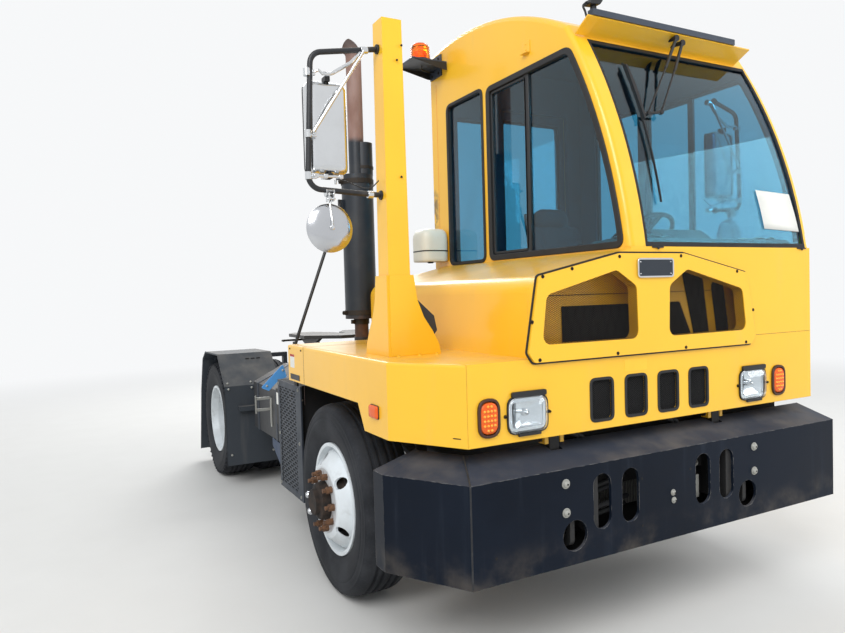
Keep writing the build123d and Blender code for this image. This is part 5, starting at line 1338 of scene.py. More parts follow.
def bumper_fittings():
    heads = [(u, BUMPER_Y, v) for u in (-0.597, 0.6) for v in (0.802, 0.68)]
    small = [(0.03, BUMPER_Y, 0.664), (0.034, BUMPER_Y, 0.628)]
    domes = Shape()
    for spots, size in ((heads, 1.0), (small, 0.72)):
        for x, y, z in spots:
            section = [
                (0.0, 0.0205), (0.003, 0.0205), (0.004, 0.0165), (0.01, 0.0145), (0.014, 0.009),
                (0.0155, 0.002),
            ]
            domes.lathe([(a * size, r * size) for a, r in section], (x, y, z), FRONT, 20)
    domes.put("bumper_bolts", "chassis", "worn_zinc")
    # Dark hexagons on the bolt heads: painted shade in the sockets.
    slots = Shape()
    for x, y, z in heads + small:
        slots.pin(0.0045, 0.0145, 0.0158, (x, y, z), FRONT, 6)
    slots.put("bumper_socket_shade", "chassis", "deep_black")
    # Dark discs: painted shade of the small holes.
    holes = Shape()
    for x, z in ((-0.163, 0.757), (0.146, 0.756), (-0.163, 0.545), (-0.95, 0.56)):
        holes.lathe(((0.0, 0.0065), (0.0008, 0.006)), (x, BUMPER_Y, z), FRONT, 14)
    holes.put("bumper_hole_shade", "chassis", "deep_black")
    # Weld beads at the bumper's mitred corner
    bead = Shape()
    bead.tube([(-1.0608, BUMPER_Y + 0.002, 0.458), (-1.0608, BUMPER_Y + 0.002, 0.862)], 0.0035)
    bead.tube([(-1.0608, BUMPER_Y + 0.002, 0.864), (-0.968, -1.051, 0.926)], 0.0035)
    bead.put("bumper_welds", "chassis", "black_enamel")
    inside = Shape()
    inside.box((0.195, 0.268), (-1.198, -1.19), (0.59, 0.7))
    inside.box((0.215, 0.25), (-1.204, -1.196), (0.615, 0.68))
    inside.tube(
        [(0.18, -1.19, 0.76), (0.225, -1.2, 0.742), (0.275, -1.185, 0.752), (0.3, -1.12, 0.8)],
        0.006, 0.03,
    )
    inside.put("bumper_bracket", "chassis", "worn_zinc", round_by=0.002)
    tubes = Shape()
    for z, y in ((0.735, -1.12), (0.7, -1.1), (0.64, -1.13), (0.6, -1.11)):
        tubes.tube(
            [
                (-0.52, y, z), (-0.4, y - 0.03, z - 0.012), (-0.22, y - 0.025, z + 0.01),
                (-0.12, y + 0.02, z),
            ],
            0.012, 0.05,
        )
    tubes.put("cooler_hoses", "chassis", "seal_rubber")
    cooler = Shape()
    cooler.box((-0.33, 0.33), (-1.02, -0.98), (0.56, 0.69))
    cooler.put("oil_cooler", "chassis", "chassis_black", round_by=0.008)
    # A near-black board behind the bumper: painted shade where the space behind the slots and gaps
    # is dark.
    board = Shape()
    board.box((-0.98, 1.16), (-0.9795, -0.973), (0.4605, 0.905))
    board.box((-0.445, 1.16), (-0.9795, -0.973), (0.905, 0.96))
    board.box((-0.98, 1.16), (-1.225, -0.973), (0.456, 0.46))
    board.put("bumper_back_shade_board", "chassis", "deep_black")
    fins = [(-0.325 + 0.65 * i / 64, -1.0205, 0.625) for i in range(65)]
    set_blocks("oil_cooler_fins", fins, "chassis", "worn_zinc", FRONT, (0.0018, 0.12, 0.006))


def front_underside():
    """What shows between the body and the bumper: hinge tubes and hoses."""
    hinges = Shape()
    for side in (-1, 1):
        hinges.pin(0.019, 0.0, 0.037, (side * 0.504, -1.07, 0.957), (side, 0, 0), 24)
        for x, way in ((0.58, side), (0.464, -side)):
            nut = ((0.0, 0.015), (0.01, 0.015), (0.012, 0.01))
            hinges.lathe(nut, (side * x, -1.07, 0.957), (way, 0, 0), 6)
    hinges.put("hinge_tubes", "cab", "dark_bolt")
    hoses = Shape()
    for i, x in enumerate((-0.33, -0.3, 0.28, 0.315)):
        z = 0.935 - 0.006 * (i % 2)
        hoses.tube(
            [
                (x, -0.99, 0.9), (x - 0.02, -1.05, z), (x - 0.06, -1.07, z + 0.02),
                (x - 0.09, -1.02, 0.965),
            ],
            0.009, 0.05,
        )
    hoses.put("front_hoses", "chassis", "seal_rubber")


# Body: seams, plates and labels without words
def body_trim():
    seams = Shape()
    seams.box((-1.2086, -1.2078), (0.3015, 0.3045), (0.988, 1.322))
    seams.box((SKIN_X, -0.682), (0.3015, 0.3045), (1.3228, 1.3236))
    seams.box((0.69, 1.196), (BODY_Y - 0.0006, BODY_Y + 0.001), (1.3485, 1.35))
    seams.put("body_seams", "cab", "lamp_frame_brown")
    fold = Shape()
    line = [(-1.183, 0.596, 1.3235), (-1.183, -0.82, 1.3235), (-1.006, -1.135, 1.3235)]
    fold.tube(line, 0.0012, 0.01, steps=6)
    fold.put("deck_fold_line", "cab", "yellow_enamel")
    labels = Shape()
    labels.prism(rounded(rectangle((0.478, 1.188), (0.56, 1.268)), 0.004), "x", (-1.2088, SKIN_X))
    labels.put("side_label", "cab", "blank_label")
    stripe = Shape()
    stripe.prism(rounded(rectangle((0.478, 1.254), (0.56, 1.268)), 0.003), "x", (-1.2093, -1.2088))
    stripe.put("side_label_band", "cab", "label_band")
    plate = Shape()
    plate.prism(rounded(rectangle((0.385, 1.118), (0.56, 1.15)), 0.003), "x", (-1.21, SKIN_X))
    plate.put("side_plate", "cab", "black_plastic")
    slit = Shape()
    ends = [(-1.0395 + a * 0.009, -1.1236 - a * 0.0156) for a in (-1, 1)]
    slit.prism(
        [
            ends[0], ends[1], (ends[1][0] - 0.001, ends[1][1] - 0.0006),
            (ends[0][0] - 0.001, ends[0][1] - 0.0006),
        ],
        "z", (1.022, 1.026),
    )
    slit.put("front_slit", "cab", "deep_black")
    patch = Shape()
    patch.prism(
        box_outline(-0.103, 1.257, 0.14, 0.052, 0.004), "y", (BODY_Y - 0.0006, BODY_Y - 0.0001)
    )
    patch.put("front_label_place", "cab", "fresh_yellow")
    stays = Shape()
    for x in (0.048, 1.126):
        stays.box((x - 0.036, x + 0.036), (BODY_Y - 0.006, BODY_Y - 0.0005), (1.7935, 1.8005))
        stays.lathe(((0.0, 0.007), (0.006, 0.006)), (x, BODY_Y - 0.004, 1.792), FRONT, 10)
    stays.put("windscreen_stays", "cab", "black_plastic", round_by=0.001)
    # The flap that closes the hood against the cab's corner
    flap = Shape()
    flap.prism([(-0.38, 1.715), (-0.36, 1.33), (-0.205, 1.33), (-0.2, 1.42)], "y", (0.519, 0.524))
    flap.put("hood_rear_flap", "cab", "seal_rubber", round_by=0.001)
    latch = Shape()
    latch.box((-0.684, -0.68), (0.38, 0.45), (1.42, 1.56))
    latch.box((-0.694, -0.684), (0.4, 0.43), (1.44, 1.54))
    latch.lathe(((0.0, 0.01), (0.008, 0.009)), (-0.694, 0.415, 1.52), RIGHT, 16)
    latch.put("hood_latch", "cab", "black_plastic", round_by=0.002)
    bolts = [(SKIN_X, y, z) for z in (1.3, 1.01) for y in (0.345, 0.56)]
    set_dots("fender_bolts", bolts, "cab", "dark_bolt", RIGHT, 0.006)


def post_fittings():
    # A dark slate plate behind the post's flange: painted shade in the hollow where the flange
    # stands off the hood.
    shade_plate = Shape()
    shade_plate.prism(
        [
            (-0.965, 1.6), (-0.9396, 1.594), (-0.8395, 1.503), (-0.825, 1.433), (-0.848, 1.405),
            (-0.965, 1.405),
        ],
        "y", (-0.6, -0.594),
    )
    shade_plate.put("post_shade_plate", "cab", "guard_grey", round_by=0.001)
    small = [(-0.985, -0.6225, 2.76), (-1.01, -0.6225, 2.69), (-1.004, -0.6225, 2.155)]
    set_dots("post_bolts", small, "cab", "dark_bolt", FRONT, 0.0055)
    plates = Shape()
    for z in (2.747, LOW_ARM_Z):
        plates.lathe(((0.0, 0.022), (0.009, 0.022), (0.012, 0.018)), (-1.079, ARM_Y, z), RIGHT, 24)
    plates.put("post_arm_feet", "cab", "black_plastic")
    bolts = [(x, -0.655, 1.3235) for x in (-1.06, -0.95, -0.86)]
    set_bolts("post_foot_bolts", bolts, "cab", "yellow_enamel", UP, 0.009, 0.007, 0.013)


def arm_clamp(shape, x, z, way):
    """A split clamp round the mirror's tube, with its bolt."""
    centre = Vector((x, ARM_Y, z))
    way = Vector(way).normalized()
    shape.pin(0.0165, -0.017, 0.017, centre, way, 20)
    across = way.cross(Vector(BACK)).normalized()
    ear = centre + across * 0.024
    shape.box(
        (ear.x - 0.012, ear.x + 0.012), (ARM_Y - 0.01, ARM_Y + 0.01), (ear.z - 0.012, ear.z + 0.012)
    )
    shape.pin(0.0055, -0.02, 0.02, ear, BACK, 8)
    return ear


def mirror_arm_fittings():
    for name, side in SIDES:
        clamps = Shape()
        top = arm_clamp(clamps, side * 1.4255, 2.6, (0, 0, side))
        arm_clamp(clamps, side * 1.4285, 2.33, (0, 0, side))
        arm_clamp(clamps, side * 1.433, 2.146, (0, 0, side))
        clamps.pin(0.0165, -0.017, 0.017, (side * 1.15, ARM_Y, 2.733), (1, 0, -0.16 * side), 20)
        clamps.pin(0.0165, -0.014, 0.014, (side * 1.139, ARM_Y, LOW_ARM_Z), LEFT, 20)
        clamps.pin(0.019, -0.018, 0.018, (side * ROUND_MIRROR_X, ARM_Y, LOW_ARM_Z), LEFT, 20)
        for shift in (-0.011, 0.011):
            clamps.box(
                (side * ROUND_MIRROR_X + shift - 0.0025, side * ROUND_MIRROR_X + shift + 0.0025),
                (ARM_Y - 0.03, ARM_Y + 0.012), (2.034, 2.072),
            )
        clamps.pin(0.005, -0.02, 0.02, (side * ROUND_MIRROR_X, ARM_Y - 0.02, 2.046), LEFT, 8)
        clamps.tube(
            [
                (top.x, ARM_Y, top.z), (side * 1.375, ARM_Y - 0.014, 2.612),
                (side * 1.352, ARM_Y - 0.006, 2.596),
            ],
            0.006, 0.01,
        )
        clamps.put(f"mirror_clamps_{name}", "cab", "mirror_steel", round_by=0.0015)
        struts = Shape()
        struts.tube(
            [(side * 1.158, ARM_Y - 0.02, 2.722), (side * 1.412, ARM_Y - 0.026, 2.335)], 0.0075
        )
        struts.tube(
            [
                (side * 1.168, ARM_Y - 0.004, 2.718), (side * 1.215, ARM_Y - 0.004, 2.668),
                (side * 1.318, ARM_Y - 0.004, 2.602), (side * 1.352, ARM_Y - 0.004, 2.602),
            ],
            0.0085, 0.06,
        )
        struts.put(f"mirror_struts_{name}", "cab", "mirror_steel")
        brackets = Shape()
        for x in (side * 1.395, side * 1.352, side * 1.28):
            brackets.box((x - 0.01, x + 0.01), (ARM_Y - 0.004, -0.52), (2.14, 2.158))
        brackets.tube([(side * 1.42, ARM_Y, 2.147), (side * 1.27, ARM_Y + 0.006, 2.15)], 0.006)
        brackets.lathe(((0.0, 0.007), (0.02, 0.006)), (side * 1.3, ARM_Y + 0.02, 2.138), DOWN, 8)
        brackets.put(f"mirror_brackets_{name}", "cab", "mirror_steel", round_by=0.0015)
        wires = Shape()
        wires.tube(
            [
                (side * 1.3, ARM_Y + 0.01, 2.14), (side * 1.262, ARM_Y - 0.004, 2.132),
                (side * 1.18, ARM_Y - 0.006, 2.103), (side * 1.14, ARM_Y - 0.012, 2.1),
                (side * 1.094, ARM_Y, 2.142),
            ],
            0.0028, 0.03, steps=8,
        )
        wires.put(f"mirror_wire_{name}", "cab", "black_plastic")


# Exhaust: clamps and their bolts, and the elbow at the stack's foot
def exhaust_fittings():
    x, y = -0.69, 0.66
    bands = Shape()
    for z, r in ((1.5, 0.1035), (2.345, 0.1035), (1.44, 0.048)):
        bands.lathe(
            ((-0.016, r), (-0.016, r + 0.0035), (0.016, r + 0.0035), (0.016, r)), (x, y, z), UP, 48,
            closed=True,
        )
        bands.box((x - r - 0.022, x - r + 0.002), (y - 0.012, y + 0.012), (z - 0.013, z + 0.013))
    bands.lathe(
        ((-0.01, 0.0635), (-0.01, 0.0665), (0.01, 0.0665), (0.01, 0.0635)), (x + 0.046, y, 2.44),
        UP, 40, closed=True,
    )
    bands.put("exhaust_bands", "chassis", "dark_bolt", round_by=0.001)
    bolts = [(x - 0.126, y - 0.012, z) for z in (1.5, 2.345)]
    set_bolts(
        "exhaust_band_bolts", bolts, "chassis", "dark_bolt", FRONT, 0.008, 0.007, 0.011, 0.012
    )
    elbow = Shape()
    elbow.tube(
        [(x, y, 1.34), (x, y, 1.1), (x + 0.1, y - 0.02, 0.98), (x + 0.26, y - 0.1, 0.95)], 0.05,
        0.16, steps=24,
    )
    elbow.put("exhaust_elbow", "chassis", "exhaust_steel")


# Right side behind the front wheel
GUARD_X, GUARD_Y, GUARD_Z = -1.15, (0.56, 1.05), (0.34, 1.06)


def guard():
    """The perforated sheet over the guard box, with its smooth front edge."""
    row, pitch = 0.0175, 0.08
    low, high = GUARD_Z
    places = []
    for i in range(int((high - low - 0.05) / row)):
        for k in range(5):
            y = 0.655 + pitch * k + (pitch / 2 if i % 2 else 0)
            if y < 1.01:
                places.append((GUARD_X - 0.0005, y, low + 0.03 + row * i))
    sizes = {"Wide": row, "Long": pitch, "Slit": 0.0105, "Slot": 0.054, "Thick": 0.003}
    grow("guard_sheet", perforated_tree(), places, "chassis", "guard_grey", RIGHT, **sizes)
    edges = Shape()
    for y in ((GUARD_Y[0], 0.657), (1.012, GUARD_Y[1])):
        edges.box((GUARD_X - 0.0045, GUARD_X - 0.0003), y, GUARD_Z)
    for z in ((low, low + 0.036), (high - 0.04, high)):
        edges.box((GUARD_X - 0.0043, GUARD_X - 0.0003), (0.657, 1.012), z)
    edges.box(
        (GUARD_X - 0.0045, GUARD_X + 0.006), (GUARD_Y[0] - 0.004, GUARD_Y[0] - 0.0003), GUARD_Z
    )
    edges.put("guard_edges", "chassis", "guard_grey", round_by=0.001)
    heads = [(GUARD_X - 0.0045, y, z) for y in (0.6, 1.03) for z in (0.365, 0.7, 1.035)]
    set_bolts("guard_bolts", heads, "chassis", "worn_zinc", RIGHT, 0.008, 0.006, 0.011)
    back = Shape()
    back.box((-1.132, -0.86), (1.052, 1.105), (0.7, 1.04))
    back.box((-1.146, -1.02), (1.06, 1.14), (0.74, 0.99))
    back.box((-1.1, -0.95), (1.14, 1.275), (0.735, 0.905))
    back.prism([(1.11, 0.62), (1.29, 0.7), (1.29, 0.735), (1.11, 0.735)], "x", (-1.075, -1.065))
    back.put("valve_block", "chassis", "chassis_black", round_by=0.006)
    blank = Shape()
    blank.prism(
        [(-1.144, 0.968), (-1.112, 0.968), (-1.112, 0.875), (-1.144, 0.875)], "y", (1.0495, 1.0515)
    )
    blank.box((-1.1475, -1.1462), (1.072, 1.118), (0.882, 0.962))
    blank.put("valve_label", "chassis", "blank_label")
    pipes = Shape()
    for i, (y, z) in enumerate(((1.165, 0.9), (1.195, 0.895), (1.228, 0.905), (1.258, 0.9))):
        x = -1.075 + 0.022 * (i % 2)
        pipes.lathe(((0.0, 0.013), (0.016, 0.013), (0.018, 0.01), (0.03, 0.01)), (x, y, z), UP, 6)
        pipes.tube(
            [
                (x, y, z + 0.02), (x, y, z + 0.075), (x + 0.1, y + 0.01, z + 0.115),
                (x + 0.26, y + 0.04, z + 0.085),
            ],
            0.0095, 0.05,
        )
    pipes.put("valve_hoses", "chassis", "seal_rubber")
    # The cover's blue is a painted sky reflection on a glossy sloped sheet.
    cover = Shape()
    outline = [(-1.206, 0.977), (-1.04, 1.134), (-1.014, 1.038), (-1.074, 1.022), (-1.149, 0.95)]
    cover.prism(rounded(outline, 0.012), "y", (1.3, 1.306))
    cover.put("sky_reflection_cover", "chassis", "cover_blue", round_by=0.001)
    set_dots(
        "blue_cover_bolts", [(-1.162, 1.2995, 0.987), (-1.045, 1.2995, 1.09)], "chassis",
        "worn_zinc", FRONT, 0.009,
    )
    strip = Shape()
    strip.box((-1.176, -1.165), (1.6, 1.606), (0.745, 0.88))
    for z in (0.76, 0.845):
        strip.box((-1.172, -1.06), (1.606, 1.62), (z, z + 0.02))
    strip.put("tank_sight_strip", "chassis", "worn_zinc", round_by=0.001)
    # This sheet's dark slate-blue is a painted sky reflection.
    sheet = Shape()
    sheet.prism(
        [(1.575, 0.5), (1.328, 0.364), (1.328, 0.545), (1.575, 0.558)], "x", (-1.062, -1.057)
    )
    sheet.put("tank_skid_sheet", "chassis", "cover_slate", round_by=0.001)


def rear_fender_fittings():
    heads, flat, tops = [], [], []
    for side in (-1, 1):
        heads += [
            (side * x, 2.3395, z)
            for x, z in ((1.215, 0.85), (1.02, 0.85), (0.85, 0.85), (1.205, 0.29), (0.85, 0.29))
        ]
        tops += [(side * 1.215, 2.3735, 0.895), (side * 1.02, 2.3735, 0.895)]
        flat += [(side * (0.9 + 0.048 * i), 2.5645, 1.0805) for i in range(3)]
    set_dots("rear_fender_bolts", heads, "chassis", "worn_zinc", FRONT, 0.01)
    set_dots("rear_fender_top_bolts", tops, "chassis", "worn_zinc", (0, -0.69, 0.72), 0.01)
    # Dark blocks in the fender's top: painted shade in the slots.
    set_blocks(
        "rear_fender_slot_shade", flat, "chassis", "deep_black", (0, -0.69, 0.72), (0.034, 0.009, 0.003)
    )
    hems = Shape()
    for side in (-1, 1):
        outline = [
            (2.3385, 0.2), (2.35, 0.875), (2.6195, 1.1298), (3.18, 1.1202), (3.331, 1.041),
            (3.471, 0.721), (3.621, 0.118),
        ]
        low, high = sorted((side * 1.2402, side * 1.246))
        edge = rectangle((low, -0.01), (high, 0.001))
        hems.rings([[(u, y - 0.001, z + v) for u, v in edge] for y, z in outline])
    hems.put("rear_fender_hems", "chassis", "fender_slate")


# Inside the cab: the seat's pads, the dash, its dials and the paper on the windscreen
CLOTH_FRAMES = 14


def pad_mesh(size, crown):
    """A crowned pad about the origin, a little small, as an object with an even mesh."""
    wide, long, tall = size
    shape = Shape()
    levels = (
        (-0.5, 0.86), (-0.42, 0.95), (-0.2, 0.985), (0.02, 0.97), (0.22, 0.99), (0.42, 0.955),
        (0.5, 0.87),
    )
    shape.rings(
        [
            [(u, v, tall * level) for u, v in box_outline(0, 0, wide * share, long * share, 0.055)]
            for level, share in levels
        ]
    )
    pad = add_object("pad", shape.mesh("pad", (0, 0, 0)))
    even = pad.modifiers.new("even", "REMESH")
    even.mode = "VOXEL"
    even.voxel_size = 0.012
    for point in settle(pad).vertices:
        u, v, w = point.co
        lift = max(0.0, 1 - (2 * u / wide) ** 2) * max(0.0, 1 - (2 * v / long) ** 2)
        point.co.z += crown * lift * (1 if w > 0 else -0.25)
    return pad


def swell(pad, cap):
    """Blows the pad up a little as cloth under pressure, with the way of each point capped."""
    cloth = pad.modifiers.new("swell", "CLOTH")
    cloth.settings.use_pressure = True
    cloth.settings.uniform_pressure_force = 4.0
    cloth.settings.effector_weights.gravity = 0.0
    for number in range(1, CLOTH_FRAMES + 1):
        scene.frame_set(number)
    graph = bpy.context.evaluated_depsgraph_get()
    blown = pad.evaluated_get(graph).data
    ways = [after.co - before.co for before, after in zip(pad.data.vertices, blown.vertices)]
    pad.modifiers.clear()
    scene.frame_set(1)
    for point, way in zip(pad.data.vertices, ways):
        point.co += way if way.length < cap else way.normalized() * cap


def cushion(name, size, crown, channels, centre, tilt, replaces=()):
    """A padded piece: crowned, swollen, with sewn channels across it, put in its place."""
    pad = pad_mesh(size, crown)
    swell(pad, 0.008)
    for point in pad.data.vertices:
        u, v, w = point.co
        for axis, level in channels:
            away = (v if axis == "across" else abs(u)) - level
            point.co.z -= (0.009 if w > 0 else 0.0) * math.exp(-((away / 0.01) ** 2))
    turn = Matrix.Rotation(tilt, 4, "X")
    pad.data.transform(Matrix.Translation(Vector(centre) + FRONT_AXLE) @ turn)
    pad.data.shade_smooth()
    pad.data.materials.clear()
    pad.data.materials.append(FINISHES["seat_cloth"].material)
    pad.name = name
    pad.data.name = name
    smooth = pad.modifiers.new("soft", "SUBSURF")
    smooth.levels = smooth.render_levels = 1
    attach(pad, "cab")
    if replaces:
        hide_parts(*replaces)
    return pad


SEAT_X = 0.665


def seat():
    lean = math.atan2(0.66, 0.14)
    across = [("across", v) for v in (-0.13, -0.02, 0.09)]
    cushion(
        "seat_cushion", (0.455, 0.455, 0.1), 0.016, across + [("along", 0.15)],
        (SEAT_X, -0.035, 1.472), 0.02, ("seat",),
    )
    back = [("across", v) for v in (-0.16, -0.05, 0.06)]
    cushion(
        "seat_back", (0.44, 0.5, 0.085), 0.012, back + [("along", 0.145)], (SEAT_X, 0.296, 1.815),
        lean,
    )
    cushion("seat_head", (0.27, 0.13, 0.075), 0.01, [], (SEAT_X, 0.372, 2.112), lean)
    shell = Shape()
    line = [
        (0.262, 1.48), (0.33, 1.62), (0.392, 1.9), (0.428, 2.14), (0.42, 2.15), (0.38, 1.905),
        (0.318, 1.625), (0.252, 1.49),
    ]
    shell.prism(line, "x", (SEAT_X - 0.195, SEAT_X + 0.195))
    shell.prism(
        [(-0.22, 1.405), (0.255, 1.405), (0.262, 1.424), (-0.225, 1.424)], "x",
        (SEAT_X - 0.2, SEAT_X + 0.2),
    )
    for side in (-1, 1):
        x = SEAT_X + side * 0.247
        shell.prism(
            rounded([(-0.06, 1.69), (0.29, 1.69), (0.3, 1.735), (-0.07, 1.735)], 0.018), "x",
            (x - 0.026, x + 0.026),
        )
        shell.prism(
            [(0.255, 1.56), (0.315, 1.56), (0.33, 1.735), (0.29, 1.735)], "x",
            (x - 0.012, x + 0.012),
        )
        shell.bar((x, 0.3, 1.58), (SEAT_X + side * 0.19, 0.3, 1.58), 0.014)
    shell.put("seat_shell", "cab", "black_plastic", round_by=0.006)
    base = Shape()
    rings = []
    for i in range(13):
        out = 0.01 if i % 2 else 0.0
        z = 1.165 + 0.235 * i / 12
        outline = box_outline(0.625, 0.025, 0.24 + out * 2, 0.34 + out * 2, 0.03)
        rings.append([(u, v, z) for u, v in outline])
    base.rings(rings)
    base.box((0.46, 0.79), (-0.16, 0.21), (1.147, 1.165))
    base.put("seat_bellows", "cab", "seal_rubber", smooth=20)
    belt = Shape()
    belt.box((0.405, 0.425), (0.255, 0.3), (1.425, 1.56))
    belt.box((0.4, 0.43), (0.262, 0.292), (1.56, 1.6))
    belt.put("belt_buckle", "cab", "lamp_red", round_by=0.004)


def dash():
    """The hood over the dials, the dials, switches and the paper on the windscreen."""
    hood = Shape()
    section = [
        (-0.905, 1.8505), (-0.9, 1.872), (-0.835, 1.918), (-0.8, 1.918), (-0.812, 1.9),
        (-0.788, 1.8505),
    ]
    hood.prism(rounded(section, 0.008), "x", (0.39, 0.74))
    hood.prism(
        rounded([(-1.035, 1.851), (-0.85, 1.851), (-0.86, 1.858), (-1.028, 1.858)], 0.003), "x",
        (0.02, 0.3),
    )
    hood.put("dash_hood", "cab", "dash_plastic", round_by=0.006)
    # Dark bars on the dash top: painted shade in the vent slots.
    vents = [(x, -0.955 + 0.011 * i, 1.8535) for x in (0.16, 0.95) for i in range(11)]
    set_blocks("dash_vent_shade", vents, "cab", "deep_black", UP, (0.2, 0.005, 0.004))
    faces, rims, ticks = Shape(), Shape(), []
    way = Vector((0, 0.955, 0.296))
    up = Vector((0, -0.296, 0.955))
    outward = []

    for x, radius, count in (
        (0.475, 0.034, 12), (0.655, 0.034, 12), (0.565, 0.026, 8), (0.42, 0.016, 5),
        (0.71, 0.016, 5),
    ):
        centre = Vector((x, -0.798, 1.8845))
        faces.lathe(((0.001, radius * 0.96), (0.0022, radius * 0.95)), centre, way, 28)
        rims.lathe(
            ((0.0, radius * 1.08), (0.004, radius * 1.08), (0.005, radius), (0.001, radius * 0.94)),
            centre, way, 28,
        )
        for i in range(count):
            a = math.radians(-130 + 260 * i / (count - 1))
            spoke = Vector(LEFT) * math.sin(a) + up * math.cos(a)
            ticks.append(tuple(centre + way * 0.0024 + spoke * radius * 0.78))
            outward.append(tuple(way))
        needle = centre + way * 0.0034
        tip = needle + (Vector(LEFT) * -0.6 + up * 0.5) * radius * 0.85
        rims.bar(needle, tip, 0.0008, 6)
    faces.put("dial_faces", "cab", "deep_black")
    rims.put("dial_rims", "cab", "cylinder_chrome")
    set_dots("dial_ticks", ticks, "cab", "blank_label", outward, 0.0012)
    places = [(0.1 + 0.038 * i, -0.7385, z) for i in range(7) for z in (1.752, 1.7)]
    set_blocks("dash_switches", places, "cab", "black_plastic", BACK, (0.026, 0.034, 0.01))
    knobs = Shape()
    for x, z in ((0.8, 1.745), (0.87, 1.745), (0.94, 1.745), (0.8, 1.685), (1.05, 1.7)):
        knobs.lathe(
            ((0.0, 0.017), (0.01, 0.016), (0.014, 0.013), (0.022, 0.012)), (x, -0.7395, z), BACK, 18
        )
    knobs.put("dash_knobs", "cab", "black_plastic")
    stalk = Shape()
    stalk.tube([(0.56, -0.65, 1.8), (0.44, -0.63, 1.82), (0.375, -0.64, 1.838)], 0.007, 0.03)
    stalk.tube([(0.56, -0.65, 1.795), (0.68, -0.63, 1.812), (0.742, -0.642, 1.826)], 0.007, 0.03)
    stalk.lathe(
        ((0.0, 0.03), (0.01, 0.036), (0.016, 0.03)), (0.56, -0.5595, 1.8905), (0, 0.62, 0.78), 24
    )
    stalk.put("column_stalks", "cab", "black_plastic")
    paper = Shape()
    rings = []
    for i in range(7):
        t = i / 6
        z = 2.108 - 0.208 * t
        left = Vector((0.842 + 0.01 * t, screen_y(z) + 0.0045, z))
        right = Vector((1.118 + 0.02 * t, screen_y(z - 0.012) + 0.0045, z - 0.012))
        bow = Vector((0, -0.001 * math.sin(math.pi * t), 0))
        rings.append([left + bow, left.lerp(right, 0.5) + bow * 1.5, right + bow])
    paper.rings(rings, ends=False, around=False)
    sheet = paper.put("windscreen_paper", "cab", "blank_label")
    thick = sheet.modifiers.new("thickness", "SOLIDIFY")
    thick.thickness = 0.0006
    wrap = Shape()
    for x0, wide, seed in ((0.02, 0.3, 1.0), (0.86, 0.28, 2.3)):
        rings = []
        for i in range(13):
            ring = []
            for j in range(9):
                u, v = i / 12, j / 8
                fold = math.sin(9 * u + seed) * math.cos(7 * v + seed * 2 + 3 * u)
                x = x0 + wide * u + 0.01 * math.sin(8 * v)
                y = -1.045 + 0.15 * v + 0.02 * math.sin(5 * u + seed)
                ring.append((x, y, 1.8515 + 0.016 * abs(fold)))
            rings.append(ring)
        wrap.rings(rings, ends=False, around=False)
    loose = wrap.put("plastic_wrap", "cab", "wrap_film", smooth=25)
    thick = loose.modifiers.new("thickness", "SOLIDIFY")
    thick.thickness = 0.0006
    thick.offset = 1.0


# Roof: the aerial on the visor, the tab on the side, and the tank behind the windows
def roof_details():
    aerial = Shape()
    aerial.tube(
        [
            (-0.079, -0.86, 2.951), (-0.088, -0.86, 2.978), (-0.104, -0.86, 3.0),
            (-0.075, -0.86, 3.024),
        ],
        0.0055, 0.02,
    )
    aerial.prism(
        rounded(
            [(-0.078, 3.008), (-0.01, 3.014), (0.012, 3.04), (-0.035, 3.05), (-0.066, 3.034)], 0.008
        ),
        "y", (-0.885, -0.835),
    )
    aerial.prism(
        rounded([(-0.05, 2.99), (-0.02, 2.993), (-0.022, 3.012), (-0.048, 3.01)], 0.004), "y",
        (-0.87, -0.85),
    )
    aerial.put("visor_aerial", "cab", "black_plastic", round_by=0.003)
    tab = Shape()
    outline = rounded(rectangle((-0.455, 2.905), (-0.395, 2.972)), 0.006)
    tab.prism(outline, "x", (-0.1245, -0.1203))
    tab.box((-0.146, -0.1215), (-0.455, -0.395), (2.902, 2.906))
    tab.put("cab_side_tab", "cab", "yellow_enamel", round_by=0.001)
    set_dots(
        "cab_side_tab_rivets", [(-0.1245, -0.425, 2.925), (-0.1245, -0.425, 2.955)], "cab",
        "yellow_enamel", RIGHT, 0.004,
    )
    seam = Shape()
    seam.box((-0.1206, -0.1199), (0.586, 0.588), (1.802, 3.02))
    seam.box((1.1999, 1.2006), (0.586, 0.588), (1.802, 3.02))
    seam.put("cab_side_seams", "cab", "amber_deep")
    ribs = Shape()
    for x in (0.02, 0.3, 0.58, 0.86):
        ribs.box((x, x + 0.022), (-0.896, -0.868), (2.94, 2.9425))
    ribs.put("visor_stiffeners", "cab", "yellow_enamel", round_by=0.0008)
    bolts = [(x, -0.88, 2.9815) for x in (0.0, 0.3, 0.6, 0.9)]
    set_bolts("light_bar_bolts", bolts, "cab", "dark_bolt", UP, 0.006, 0.005, 0.009)
    tray = Shape()
    web = [(-0.38, 3.1178), (-0.13, 3.1178), (-0.13, 3.07), (-0.15, 3.07)]
    for y in (0.4205, 0.6455):
        tray.prism(web, "y", (y, y + 0.004))
    tray.tube(
        [
            (-0.25, 0.54, 3.117), (-0.25, 0.552, 3.098), (-0.19, 0.572, 3.094),
            (-0.128, 0.592, 3.108),
        ],
        0.004, 0.01,
    )
    tray.put("beacon_tray_webs", "cab", "black_plastic", round_by=0.001)
    heads = [(-0.1305, y, z) for y in (0.532, 0.618) for z in (3.082, 3.178)]
    set_bolts("beacon_tray_bolts", heads, "cab", "dark_bolt", RIGHT, 0.0065, 0.005, 0.01)


